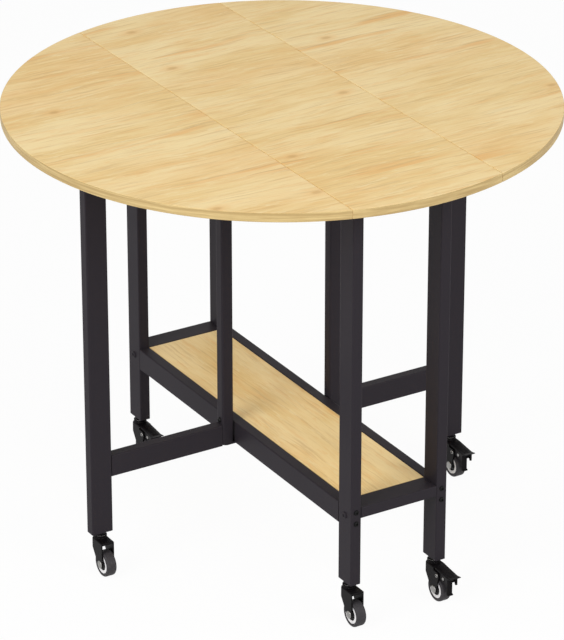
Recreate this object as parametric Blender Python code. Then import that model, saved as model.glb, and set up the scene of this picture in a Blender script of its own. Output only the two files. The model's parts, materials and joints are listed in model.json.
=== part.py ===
"""Round drop-leaf dining table with two swing-out gates, a low shelf and six swivel casters.

Metres, +Z up. The origin is on the floor under the middle of the top. X runs along the
central frame, -Y is the front side. Both gates stand open under their leaves.
"""
import math

import bmesh
import bpy
from mathutils import Matrix, Vector

MM = 0.001

# Gap that two pieces keep where they touch
SEAT_GAP = 0.3 * MM

# Top: a centre board and two half-round leaves
TABLE_HEIGHT = 763 * MM
TOP_DIAMETER = 900 * MM
TOP_THICKNESS = 15 * MM
SEAM_GAP = 1.0 * MM
RIM_BEVEL = 1.0 * MM
SIDE_OVERHANG = 45 * MM
END_OVERHANG = 90 * MM
RIM_STEPS_PER_TURN = 108

# Central frame of rectangular tube
FRAME_WIDTH = 180 * MM
TUBE_DEEP = 38 * MM
TUBE_SLIM = 19 * MM
TUBE_WALL = 1.5 * MM
TUBE_CORNER = 2.0 * MM
LOWER_RAIL_TOP = 209.5 * MM
LEG_PLUG = 6 * MM

# Shelf board and the tabs that carry it
SHELF_THICKNESS = 15 * MM
SHELF_RECESS = 0.5 * MM
SHELF_SIDE_GAP = 0.4 * MM
TAB_COUNT = 3
TAB_LENGTH = 30 * MM
TAB_REACH = 15 * MM
TAB_THICKNESS = 2 * MM

# Gates: outer leg, post on pivot pins, top rail and stretcher
GATE_INSET = 90 * MM
GATE_OFFSET = -9.5 * MM
POST_ALONG = 19 * MM
POST_ACROSS = 21 * MM
POST_CORNER = 3 * MM
POST_PLUG = 14 * MM
SWING_GAP = 0.4 * MM
PIVOT_PIN = 8 * MM
PIVOT_PIN_LENGTH = 12 * MM
PIN_CLEARANCE = 0.3 * MM
LUG_THICKNESS = 3 * MM

# Leaf hinges under the seams
HINGE_LENGTH = 60 * MM
HINGE_PLATE = 28 * MM
HINGE_SHEET = 1.6 * MM
HINGE_CORNER = 4 * MM
KNUCKLE_DIAMETER = 7 * MM
KNUCKLE_LENGTH = 20 * MM
KNUCKLE_GAP = 0.5 * MM
HINGE_PIN = 3 * MM
HINGE_PIN_CLEARANCE = 0.4 * MM
SCREW_HOLE = 4 * MM

# Caster wheel
WHEEL_DIAMETER = 44 * MM
WHEEL_WIDTH = 17.5 * MM
TREAD_DEPTH = 6 * MM
TREAD_SHOULDER = 3.0 * MM
RING_WIDTH = 5.5 * MM
RING_INSET = 0.9 * MM
DISH_INSET = 3.5 * MM
HUB_DIAMETER = 14 * MM
AXLE_DIAMETER = 8 * MM
AXLE_CLEARANCE = 0.3 * MM

# Caster fork
TRAIL = 18 * MM
WHEEL_SIDE_GAP = 0.9 * MM
FORK_SHEET = 2.0 * MM
FORK_HEADROOM = 18 * MM
FORK_SHOULDER = 17.5 * MM
FORK_END_RADIUS = 7 * MM
CROWN_RADIUS = 13 * MM
CROWN_SKIRT = 4 * MM
RIVET_HEAD = 13 * MM
RIVET_HEIGHT = 1.2 * MM

# Caster stem: stud in the leg, race under it and kingpin through the fork
RACE_HEIGHT = 11 * MM
RACE_DIAMETER = 22 * MM
NECK_HEIGHT = 4.4 * MM
NECK_DIAMETER = 17 * MM
STUD_DIAMETER = 8 * MM
STUD_LENGTH = 20 * MM
STUD_CLEARANCE = 0.4 * MM
KINGPIN_DIAMETER = 9 * MM
KINGPIN_CLEARANCE = 0.4 * MM
KINGPIN_HEAD = 14 * MM
KINGPIN_HEAD_HEIGHT = 2 * MM

# Brake pedal, on a pin above the wheel
PEDAL_PIVOT_AHEAD = 8 * MM
PEDAL_PIVOT_ABOVE = 6.5 * MM
PEDAL_PIN = 4 * MM
PEDAL_PIN_CLEARANCE = 0.4 * MM
PEDAL_PIN_HEAD = 6.5 * MM
PEDAL_EAR_RADIUS = 5.5 * MM
PEDAL_HUB_RADIUS = 4.2 * MM
PEDAL_CROWN_GAP = 4 * MM
PEDAL_LENGTH = 38 * MM
PEDAL_WIDTH = 20 * MM
PEDAL_FALL = 4 * MM
PEDAL_SHEET = 3 * MM
PEDAL_TIP = 10 * MM
PEDAL_TIP_RISE = 2 * MM
PEDAL_LIFT_OVER_EAR = 2 * MM
PEDAL_WEB_GAP = 0.9 * MM
SHOE_GAP = 5.5 * MM
SHOE_SHEET = 3.2 * MM
SHOE_WIDTH = 9.5 * MM
SHOE_LIP = 2.5 * MM
CHEEK_EAR_GAP = 1 * MM
CHEEK_SHEET = 2.4 * MM
CHEEK_BELOW_PIN = 3.5 * MM
CLAW_WIDTH = 3.5 * MM
CLAW_LENGTH = 14 * MM
CLAW_THICKNESS = 2 * MM
CLAW_ROOT = 10 * MM

# Facets of round pieces
TYRE_SIDES = 24
CORE_SIDES = 16
STEM_SIDES = 12
PIN_SIDES = 12
PEDAL_PIN_SIDES = 8
HINGE_SIDES = 10
HOLE_SIDES = 8
CORNER_STEPS = 2

# Sizes that follow from those above
TOP_RADIUS = TOP_DIAMETER / 2
UNDERSIDE = TABLE_HEIGHT - TOP_THICKNESS
CENTRE_WIDTH = FRAME_WIDTH + 2 * SIDE_OVERHANG
FRAME_LENGTH = TOP_DIAMETER - 2 * END_OVERHANG
FRAME_TOP = UNDERSIDE - SEAT_GAP
LEG_X = FRAME_LENGTH / 2 - TUBE_DEEP / 2
LEG_Y = FRAME_WIDTH / 2 - TUBE_SLIM / 2
LONG_RAIL_LENGTH = FRAME_LENGTH - 2 * TUBE_DEEP - 2 * SEAT_GAP
END_RAIL_LENGTH = FRAME_WIDTH - 2 * TUBE_SLIM - 2 * SEAT_GAP
LOWER_RAIL_BOTTOM = LOWER_RAIL_TOP - TUBE_DEEP
SHELF_TOP = LOWER_RAIL_TOP - SHELF_RECESS
POST_SWING_RADIUS = POST_CORNER + math.hypot(POST_ALONG / 2 - POST_CORNER, POST_ACROSS / 2 - POST_CORNER)
POST_Y = FRAME_WIDTH / 2 + POST_SWING_RADIUS + SWING_GAP
GATE_REACH = TOP_RADIUS - GATE_INSET - POST_Y
POST_BOTTOM = LOWER_RAIL_BOTTOM + LUG_THICKNESS + SEAT_GAP
POST_TOP = FRAME_TOP - LUG_THICKNESS - SEAT_GAP
KNUCKLE_RADIUS = KNUCKLE_DIAMETER / 2
HINGE_Z = UNDERSIDE - SEAT_GAP - KNUCKLE_RADIUS
HINGE_X = (GATE_OFFSET + GATE_REACH + FRAME_LENGTH / 2 - TUBE_DEEP) / 2
WHEEL_RADIUS = WHEEL_DIAMETER / 2
CORE_RADIUS = WHEEL_RADIUS - TREAD_DEPTH
FORK_INNER = WHEEL_WIDTH / 2 + WHEEL_SIDE_GAP
FORK_OUTER = FORK_INNER + FORK_SHEET
FORK_TOP = WHEEL_DIAMETER + FORK_HEADROOM
FORK_CEILING = FORK_TOP - FORK_SHEET
LEG_BOTTOM = FORK_TOP + RACE_HEIGHT
PEDAL_PIVOT = Vector((TRAIL + PEDAL_PIVOT_AHEAD, 0, WHEEL_DIAMETER + PEDAL_PIVOT_ABOVE))
EAR_TOP = PEDAL_PIVOT.z + PEDAL_EAR_RADIUS


def make_material(name, colour, roughness, metallic=0.0):
    """Principled material of one colour."""
    material = bpy.data.materials.new(name)
    material.use_nodes = True
    shader = material.node_tree.nodes["Principled BSDF"]
    shader.inputs["Base Color"].default_value = (*colour, 1.0)
    shader.inputs["Roughness"].default_value = roughness
    shader.inputs["Metallic"].default_value = metallic
    return material


def arc(centre, radius, start, end, steps):
    """Points along an arc, angles in degrees, both ends included."""
    points = []
    for step in range(steps + 1):
        angle = math.radians(start + (end - start) * step / steps)
        points.append((centre[0] + radius * math.cos(angle), centre[1] + radius * math.sin(angle)))
    return points


def rounded_rectangle(width, height, radius):
    """Outline of a rectangle about the origin with round corners."""
    points = []
    for sign_x, sign_y, start in ((1, 1, 0), (-1, 1, 90), (-1, -1, 180), (1, -1, 270)):
        centre = (sign_x * (width / 2 - radius), sign_y * (height / 2 - radius))
        points += arc(centre, radius, start, start + 90, CORNER_STEPS)
    return points


def box_outline(low_u, low_v, high_u, high_v):
    """Outline of a plain rectangle."""
    return [(low_u, low_v), (high_u, low_v), (high_u, high_v), (low_u, high_v)]


def along(axis, u, v, w):
    """World point of an outline point (u, v) at w along the axis of extrusion."""
    if axis == "X":
        return Vector((w, u, v))
    if axis == "Y":
        return Vector((u, w, v))
    return Vector((u, v, w))


def prism(outline, axis, low, high):
    """Closed solid: an outline extruded along an axis from low to high."""
    solid = bmesh.new()
    face = solid.faces.new([solid.verts.new(along(axis, u, v, low)) for u, v in outline])
    extruded = bmesh.ops.extrude_face_region(solid, geom=[face])
    moved = [item for item in extruded["geom"] if isinstance(item, bmesh.types.BMVert)]
    bmesh.ops.translate(solid, vec=along(axis, 0, 0, high - low), verts=moved)
    bmesh.ops.recalc_face_normals(solid, faces=solid.faces)
    return solid


def open_tube(width, height, axis, low, high):
    """Rectangular tube with round corners, open at both ends."""
    outer = rounded_rectangle(width, height, TUBE_CORNER)
    inner_corner = max(TUBE_CORNER - TUBE_WALL, TUBE_CORNER / 4)
    inner = rounded_rectangle(width - 2 * TUBE_WALL, height - 2 * TUBE_WALL, inner_corner)
    solid = bmesh.new()
    loops = []
    for outline, end in ((outer, low), (outer, high), (inner, high), (inner, low)):
        loops.append([solid.verts.new(along(axis, u, v, end)) for u, v in outline])
    for first, second in zip(loops, loops[1:] + loops[:1]):
        count = len(first)
        for index in range(count):
            following = (index + 1) % count
            solid.faces.new((first[index], first[following], second[following], second[index]))
    bmesh.ops.recalc_face_normals(solid, faces=solid.faces)
    return solid


def turned(profile, sides, axis="Z", closed=False):
    """Solid of revolution from (radius, height) points; a closed profile makes a ring."""
    solid = bmesh.new()
    points = [solid.verts.new((radius, 0, height)) for radius, height in profile]
    pairs = list(zip(points, points[1:]))
    if closed:
        pairs.append((points[-1], points[0]))
    edges = [solid.edges.new(pair) for pair in pairs]
    bmesh.ops.spin(
        solid, geom=points + edges, cent=(0, 0, 0), axis=(0, 0, 1), angle=math.tau, steps=sides
    )
    bmesh.ops.remove_doubles(solid, verts=solid.verts, dist=MM / 1000)
    bmesh.ops.recalc_face_normals(solid, faces=solid.faces)
    if axis == "Y":
        bmesh.ops.rotate(solid, verts=solid.verts, matrix=Matrix.Rotation(math.radians(-90), 3, "X"))
    if axis == "X":
        bmesh.ops.rotate(solid, verts=solid.verts, matrix=Matrix.Rotation(math.radians(90), 3, "Y"))
    return solid


def cylinder(radius, low, high, sides, axis="Z", centre=(0, 0, 0)):
    """Round bar along an axis through the centre point."""
    solid = turned([(0, high), (radius, high), (radius, low), (0, low)], sides, axis)
    bmesh.ops.translate(solid, vec=Vector(centre), verts=solid.verts)
    return solid


def helper_object(solid):
    """Object that holds a solid while a Boolean uses it."""
    mesh = bpy.data.meshes.new("helper")
    solid.to_mesh(mesh)
    solid.free()
    helper = bpy.data.objects.new("helper", mesh)
    bpy.context.collection.objects.link(helper)
    return helper


def combine(base, tool, operation):
    """Result of a Boolean between two solids, which are used up."""
    base_object = helper_object(base)
    tool_object = helper_object(tool)
    modifier = base_object.modifiers.new("combine", "BOOLEAN")
    modifier.operation = operation
    modifier.solver = "EXACT"
    modifier.object = tool_object
    result = bmesh.new()
    result.from_object(base_object, bpy.context.evaluated_depsgraph_get())
    for helper in (base_object, tool_object):
        mesh = helper.data
        bpy.data.objects.remove(helper)
        bpy.data.meshes.remove(mesh)
    bmesh.ops.remove_doubles(result, verts=result.verts, dist=MM / 1000)
    return result


def add_pivot(name, location, parent=None):
    """Empty on a joint's axis; its location is given in its parent's frame."""
    pivot = bpy.data.objects.new(name, None)
    pivot.location = location
    pivot.parent = parent
    bpy.context.collection.objects.link(pivot)
    return pivot


def add_piece(name, solid, material, location=(0, 0, 0), parent=None):
    """Object for one sub-part, whose mesh is in its own frame."""
    mesh = bpy.data.meshes.new(name)
    solid.to_mesh(mesh)
    solid.free()
    mesh.shade_smooth()
    mesh.set_sharp_from_angle(angle=math.radians(30))
    mesh.materials.append(material)
    piece = bpy.data.objects.new(name, mesh)
    piece.location = location
    piece.parent = parent
    bpy.context.collection.objects.link(piece)
    return piece


def shifted(solid, offset):
    """The solid moved by an offset."""
    bmesh.ops.translate(solid, vec=Vector(offset), verts=solid.verts)
    return solid


def board(outline):
    """Top board whose round rim has its edges eased."""
    solid = prism(outline, "Z", UNDERSIDE, TABLE_HEIGHT)
    rim = []
    for edge in solid.edges:
        level = edge.verts[0].co.z == edge.verts[1].co.z
        on_rim = all(abs(vert.co.xy.length - TOP_RADIUS) < MM / 100 for vert in edge.verts)
        if level and on_rim:
            rim.append(edge)
    bmesh.ops.bevel(solid, geom=rim, offset=RIM_BEVEL, segments=1, affect="EDGES", clamp_overlap=True)
    return solid


def rim_arc(start, end):
    """Points along the rim between two angles in degrees, with a point at the middle."""
    steps = 2 * math.ceil(RIM_STEPS_PER_TURN * (end - start) / 720)
    return arc((0, 0), TOP_RADIUS, start, end, steps)


def build_top(wood, steel):
    """Centre board, two leaves and the hinges that carry them."""
    centre_edge = CENTRE_WIDTH / 2 - SEAM_GAP / 2
    leaf_edge = CENTRE_WIDTH / 2 + SEAM_GAP / 2
    centre_angle = math.degrees(math.asin(centre_edge / TOP_RADIUS))
    leaf_angle = math.degrees(math.asin(leaf_edge / TOP_RADIUS))
    ends = rim_arc(-centre_angle, centre_angle) + rim_arc(180 - centre_angle, 180 + centre_angle)
    add_piece("centre_top", board(ends), wood)
    for side, word, start in ((-1, "front", 180), (1, "rear", 0)):
        axis_point = Vector((0, side * CENTRE_WIDTH / 2, HINGE_Z))
        pivot = add_pivot(f"{word}_leaf_axis", axis_point)
        leaf = board(rim_arc(start + leaf_angle, start + 180 - leaf_angle))
        add_piece(f"{word}_leaf", shifted(leaf, -axis_point), wood, parent=pivot)
        for direction, end in ((-1, "left"), (1, "right")):
            spot = Vector((direction * HINGE_X, 0, 0))
            fixed = hinge_plate(-side, fixed=True)
            swinging = hinge_plate(side, fixed=False)
            add_piece(f"hinge_{word}_{end}_fixed", fixed, steel, axis_point + spot)
            add_piece(f"hinge_{word}_{end}_swing", swinging, steel, spot, pivot)


def hinge_plate(side, fixed):
    """One half of a butt hinge about its pin, with the plate on the given side in Y."""
    half = HINGE_LENGTH / 2
    middle = KNUCKLE_LENGTH / 2
    clear = KNUCKLE_RADIUS + KNUCKLE_GAP
    if fixed:
        knuckles = [(-middle, middle)]
    else:
        knuckles = [(-half, -middle - KNUCKLE_GAP), (middle + KNUCKLE_GAP, half)]
    outline = []
    for start, end in knuckles:
        inset = KNUCKLE_GAP / 2
        outline += [(start + inset, clear), (start + inset, 0), (end - inset, 0), (end - inset, clear)]
    if fixed:
        outline = [(-half, clear)] + outline + [(half, clear)]
    else:
        outline = outline[1:-1]
    far = HINGE_PLATE - HINGE_CORNER
    outline += arc((half - HINGE_CORNER, far), HINGE_CORNER, 0, 90, 1)
    outline += arc((HINGE_CORNER - half, far), HINGE_CORNER, 90, 180, 1)
    outline = [(u, side * v) for u, v in outline]
    high = KNUCKLE_RADIUS - HINGE_SHEET / 8
    solid = prism(outline, "Z", high - HINGE_SHEET, high)
    for start, end in knuckles:
        solid = combine(solid, cylinder(KNUCKLE_RADIUS, start, end, HINGE_SIDES, "X"), "UNION")
    if fixed:
        pin_half = half - KNUCKLE_GAP
        solid = combine(solid, cylinder(HINGE_PIN / 2, -pin_half, pin_half, HINGE_SIDES, "X"), "UNION")
    else:
        bore = HINGE_PIN / 2 + HINGE_PIN_CLEARANCE
        solid = combine(solid, cylinder(bore, -2 * half, 2 * half, HINGE_SIDES, "X"), "DIFFERENCE")
    for step in (-1, 1):
        spot = (step * HINGE_LENGTH / 3, side * (clear + HINGE_PLATE) / 2, 0)
        hole = cylinder(SCREW_HOLE / 2, 0, 2 * KNUCKLE_DIAMETER, HOLE_SIDES, centre=spot)
        solid = combine(solid, hole, "DIFFERENCE")
    return solid


def leg_solid(width, depth):
    """Leg tube on its own axis: open at the top, plugged at the foot for the caster's stud."""
    solid = prism(rounded_rectangle(width, depth, TUBE_CORNER), "Z", LEG_BOTTOM, FRAME_TOP)
    cavity = prism(
        rounded_rectangle(width - 2 * TUBE_WALL, depth - 2 * TUBE_WALL, TUBE_CORNER - TUBE_WALL / 2),
        "Z",
        LEG_BOTTOM + LEG_PLUG,
        FRAME_TOP + TUBE_DEEP,
    )
    solid = combine(solid, cavity, "DIFFERENCE")
    hole = cylinder(STUD_DIAMETER / 2 + STUD_CLEARANCE, 0, LEG_BOTTOM + 2 * LEG_PLUG, STEM_SIDES)
    return combine(solid, hole, "DIFFERENCE")


def pivot_lug(side, low, pin_up):
    """Lug on a long rail's outer face, with the pin on which a gate's post turns."""
    half = POST_ALONG / 2
    root = POST_Y - FRAME_WIDTH / 2 + TUBE_WALL / 2
    outline = arc((0, 0), half, 180, 360, PIN_SIDES) + [(half, root), (-half, root)]
    outline = [(u, -side * v) for u, v in outline]
    lug = prism(outline, "Z", low, low + LUG_THICKNESS)
    middle = low + LUG_THICKNESS / 2
    if pin_up:
        pin = cylinder(PIVOT_PIN / 2, middle, low + LUG_THICKNESS + PIVOT_PIN_LENGTH, PIN_SIDES)
    else:
        pin = cylinder(PIVOT_PIN / 2, low - PIVOT_PIN_LENGTH, middle, PIN_SIDES)
    return shifted(combine(lug, pin, "UNION"), (GATE_OFFSET, side * POST_Y, 0))


def long_rail(side, middle_z):
    """Long rail between the legs of one side."""
    rail = open_tube(TUBE_SLIM, TUBE_DEEP, "X", -LONG_RAIL_LENGTH / 2, LONG_RAIL_LENGTH / 2)
    return shifted(rail, (0, side * LEG_Y, middle_z))


def shelf_tab(side, x):
    """Tab on a lower rail's inner face, under the shelf board."""
    top = SHELF_TOP - SHELF_THICKNESS - SEAT_GAP
    face = FRAME_WIDTH / 2 - TUBE_SLIM
    outline = box_outline(x - TAB_LENGTH / 2, face - TAB_REACH, x + TAB_LENGTH / 2, face + TUBE_WALL / 2)
    outline = [(u, side * v) for u, v in outline]
    return prism(outline, "Z", top - TAB_THICKNESS, top)


def build_frame(coat, wood):
    """Legs, upper and lower rails with their pivot lugs, and the shelf board."""
    for side, word in ((-1, "front"), (1, "rear")):
        for direction, end in ((-1, "left"), (1, "right")):
            spot = (direction * LEG_X, side * LEG_Y, 0)
            add_piece(f"leg_{word}_{end}", leg_solid(TUBE_DEEP, TUBE_SLIM), coat, spot)
        upper = long_rail(side, FRAME_TOP - TUBE_DEEP / 2)
        upper = combine(upper, pivot_lug(side, FRAME_TOP - LUG_THICKNESS, pin_up=False), "UNION")
        add_piece(f"upper_rail_{word}", upper, coat)
        lower = long_rail(side, LOWER_RAIL_TOP - TUBE_DEEP / 2)
        lower = combine(lower, pivot_lug(side, LOWER_RAIL_BOTTOM, pin_up=True), "UNION")
        for number in range(TAB_COUNT):
            x = LONG_RAIL_LENGTH * ((number + 0.5) / TAB_COUNT - 0.5)
            lower = combine(lower, shelf_tab(side, x), "UNION")
        add_piece(f"lower_rail_{word}", lower, coat)
    for direction, end in ((-1, "left"), (1, "right")):
        for word, top in (("upper", FRAME_TOP), ("lower", LOWER_RAIL_TOP)):
            rail = open_tube(TUBE_DEEP, TUBE_SLIM, "Y", -END_RAIL_LENGTH / 2, END_RAIL_LENGTH / 2)
            spot = (direction * LEG_X, 0, top - TUBE_SLIM / 2)
            add_piece(f"{word}_rail_{end}", rail, coat, spot)
    half_length = FRAME_LENGTH / 2 - TUBE_DEEP - SHELF_SIDE_GAP
    half_width = FRAME_WIDTH / 2 - TUBE_SLIM - SHELF_SIDE_GAP
    shelf = prism(
        box_outline(-half_length, -half_width, half_length, half_width),
        "Z",
        SHELF_TOP - SHELF_THICKNESS,
        SHELF_TOP,
    )
    add_piece("shelf", shelf, wood)


def post_solid():
    """Gate post on its pivot axis: a tube with a bored plug at each end."""
    solid = prism(rounded_rectangle(POST_ALONG, POST_ACROSS, POST_CORNER), "Z", POST_BOTTOM, POST_TOP)
    bore = cylinder(PIVOT_PIN / 2 + PIN_CLEARANCE, 0, TABLE_HEIGHT, PIN_SIDES)
    solid = combine(solid, bore, "DIFFERENCE")
    inside = rounded_rectangle(
        POST_ALONG - 2 * TUBE_WALL, POST_ACROSS - 2 * TUBE_WALL, POST_CORNER - TUBE_WALL
    )
    cavity = prism(inside, "Z", POST_BOTTOM + POST_PLUG, POST_TOP - POST_PLUG)
    return combine(solid, cavity, "DIFFERENCE")


def build_gates(coat):
    """Two gates on their post axes, and those axes by name."""
    axes = {}
    for side, word in ((-1, "front"), (1, "rear")):
        pivot = add_pivot(f"{word}_gate_axis", (GATE_OFFSET, side * POST_Y, 0))
        axes[word] = pivot
        add_piece(f"{word}_gate_post", post_solid(), coat, parent=pivot)
        leg_y = GATE_REACH - TUBE_DEEP / 2
        leg = leg_solid(TUBE_SLIM, TUBE_DEEP)
        add_piece(f"{word}_gate_leg", leg, coat, (0, side * leg_y, 0), pivot)
        inner = POST_ACROSS / 2 + SEAT_GAP
        outer = GATE_REACH - TUBE_DEEP - SEAT_GAP
        half = (outer - inner) / 2
        for name, top in (("top_rail", FRAME_TOP), ("stretcher", LOWER_RAIL_TOP)):
            rail = open_tube(TUBE_SLIM, TUBE_DEEP, "Y", -half, half)
            spot = (0, side * (inner + outer) / 2, top - TUBE_DEEP / 2)
            add_piece(f"{word}_gate_{name}", rail, coat, spot, pivot)
    return axes


def stem_solid():
    """Stud, race and kingpin of a caster, on the swivel axis."""
    race_top = LEG_BOTTOM - SEAT_GAP
    race_foot = FORK_TOP + SEAT_GAP
    head_top = FORK_CEILING - SEAT_GAP
    neck_foot = race_top - NECK_HEIGHT
    profile = [
        (0, LEG_BOTTOM + STUD_LENGTH),
        (STUD_DIAMETER / 2, LEG_BOTTOM + STUD_LENGTH),
        (STUD_DIAMETER / 2, race_top),
        (NECK_DIAMETER / 2, race_top),
        (NECK_DIAMETER / 2, neck_foot),
        (RACE_DIAMETER / 2, neck_foot),
        (RACE_DIAMETER / 2, race_foot),
        (KINGPIN_DIAMETER / 2, race_foot),
        (KINGPIN_DIAMETER / 2, head_top),
        (KINGPIN_HEAD / 2, head_top),
        (KINGPIN_HEAD / 2, head_top - KINGPIN_HEAD_HEIGHT),
        (0, head_top - KINGPIN_HEAD_HEIGHT),
    ]
    return turned(profile, STEM_SIDES)


def fork_side(braked):
    """Side view of a fork as (x, z) points, from the crown's back down round the axle end."""
    axle = (TRAIL, WHEEL_RADIUS)
    back = -2 * CROWN_RADIUS
    shoulder = (-CROWN_RADIUS / 2, WHEEL_RADIUS + FORK_SHOULDER)
    run = (axle[0] - shoulder[0], axle[1] - shoulder[1])
    lean = math.degrees(math.atan2(run[1], run[0]) - math.asin(FORK_END_RADIUS / math.hypot(*run)))
    reach = (back - shoulder[0]) * math.tan(math.radians(lean))
    outline = [(back, FORK_TOP), (back, shoulder[1] + reach)]
    outline += arc(axle, FORK_END_RADIUS, lean - 90, 0, 3 * CORNER_STEPS)
    if not braked:
        return outline + [(axle[0] + FORK_END_RADIUS, FORK_TOP)]
    outline += arc((PEDAL_PIVOT.x, PEDAL_PIVOT.z), PEDAL_EAR_RADIUS, 0, 90, 2 * CORNER_STEPS)
    step = CROWN_RADIUS + PEDAL_CROWN_GAP / 2
    return outline + [(step, EAR_TOP), (step, FORK_TOP)]


def fork_plan():
    """Plan of a fork as (x, y) points: a round crown that runs out into two flat sides."""
    turn = math.degrees(math.asin(FORK_OUTER / CROWN_RADIUS))
    front = PEDAL_PIVOT.x + 2 * PEDAL_EAR_RADIUS
    crown = arc((0, 0), CROWN_RADIUS, 180 - turn, 180 + turn, 4 * CORNER_STEPS)
    return crown + [(front, -FORK_OUTER), (front, FORK_OUTER)]


def fork_solid(braked):
    """Pressed fork about its swivel axis, with the riveted axle and any pedal pin."""
    solid = prism(fork_plan(), "Z", 0, FORK_TOP)
    wide = 2 * CROWN_RADIUS
    solid = combine(solid, prism(fork_side(braked), "Y", -wide, wide), "INTERSECT")
    front = TRAIL + FORK_END_RADIUS - FORK_SHEET
    skirt = FORK_TOP - CROWN_SKIRT
    back = -FORK_INNER
    channel = [(-wide, -MM), (2 * wide, -MM)]
    if braked:
        channel.append((2 * wide, FORK_CEILING))
    else:
        channel += [(2 * wide, skirt), (front, skirt), (front, FORK_CEILING)]
    channel += [(back, FORK_CEILING), (back, skirt), (-wide, skirt)]
    solid = combine(solid, prism(channel, "Y", -FORK_INNER, FORK_INNER), "DIFFERENCE")
    hole = cylinder(KINGPIN_DIAMETER / 2 + KINGPIN_CLEARANCE, FORK_CEILING - MM, LEG_BOTTOM, STEM_SIDES)
    solid = combine(solid, hole, "DIFFERENCE")
    axle = riveted_pin((TRAIL, 0, WHEEL_RADIUS), AXLE_DIAMETER, RIVET_HEAD, PIN_SIDES)
    solid = combine(solid, axle, "UNION")
    if braked:
        pin = riveted_pin(PEDAL_PIVOT, PEDAL_PIN, PEDAL_PIN_HEAD, PEDAL_PIN_SIDES)
        solid = combine(solid, pin, "UNION")
    return solid


def riveted_pin(centre, diameter, head, sides):
    """Pin across a fork with a low rivet head on each outer face."""
    face = FORK_OUTER - FORK_SHEET / 2
    end = FORK_OUTER + RIVET_HEIGHT
    profile = [
        (0, end),
        (head / 2 - RIVET_HEIGHT / 2, end),
        (head / 2, FORK_OUTER),
        (head / 2, face),
        (diameter / 2, face),
    ]
    profile += [(radius, -height) for radius, height in reversed(profile)]
    return shifted(turned(profile, sides, "Y"), centre)


def tyre_solid():
    """Tread about the axle, with round shoulders."""
    half = WHEEL_WIDTH / 2
    bore = CORE_RADIUS + SEAT_GAP
    side = [
        (bore, half - RING_INSET),
        (WHEEL_RADIUS - TREAD_SHOULDER, half),
        (WHEEL_RADIUS - TREAD_SHOULDER / 4, half - TREAD_SHOULDER / 2),
        (WHEEL_RADIUS, half - 1.6 * TREAD_SHOULDER),
    ]
    profile = side + [(radius, -height) for radius, height in reversed(side)]
    return turned(profile, TYRE_SIDES, "Y", closed=True)


def core_solid():
    """Wheel centre about the axle: hub, dished web and the pale ring that holds the tread."""
    half = WHEEL_WIDTH / 2
    bore = AXLE_DIAMETER / 2 + AXLE_CLEARANCE
    side = [
        (bore, half),
        (HUB_DIAMETER / 2, half),
        (HUB_DIAMETER / 2 + RING_INSET, half - DISH_INSET),
        (CORE_RADIUS - RING_WIDTH, half - DISH_INSET),
        (CORE_RADIUS - RING_WIDTH + RING_INSET, half - RING_INSET),
        (CORE_RADIUS, half - RING_INSET),
    ]
    profile = side + [(radius, -height) for radius, height in reversed(side)]
    return turned(profile, CORE_SIDES, "Y", closed=True)


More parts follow.
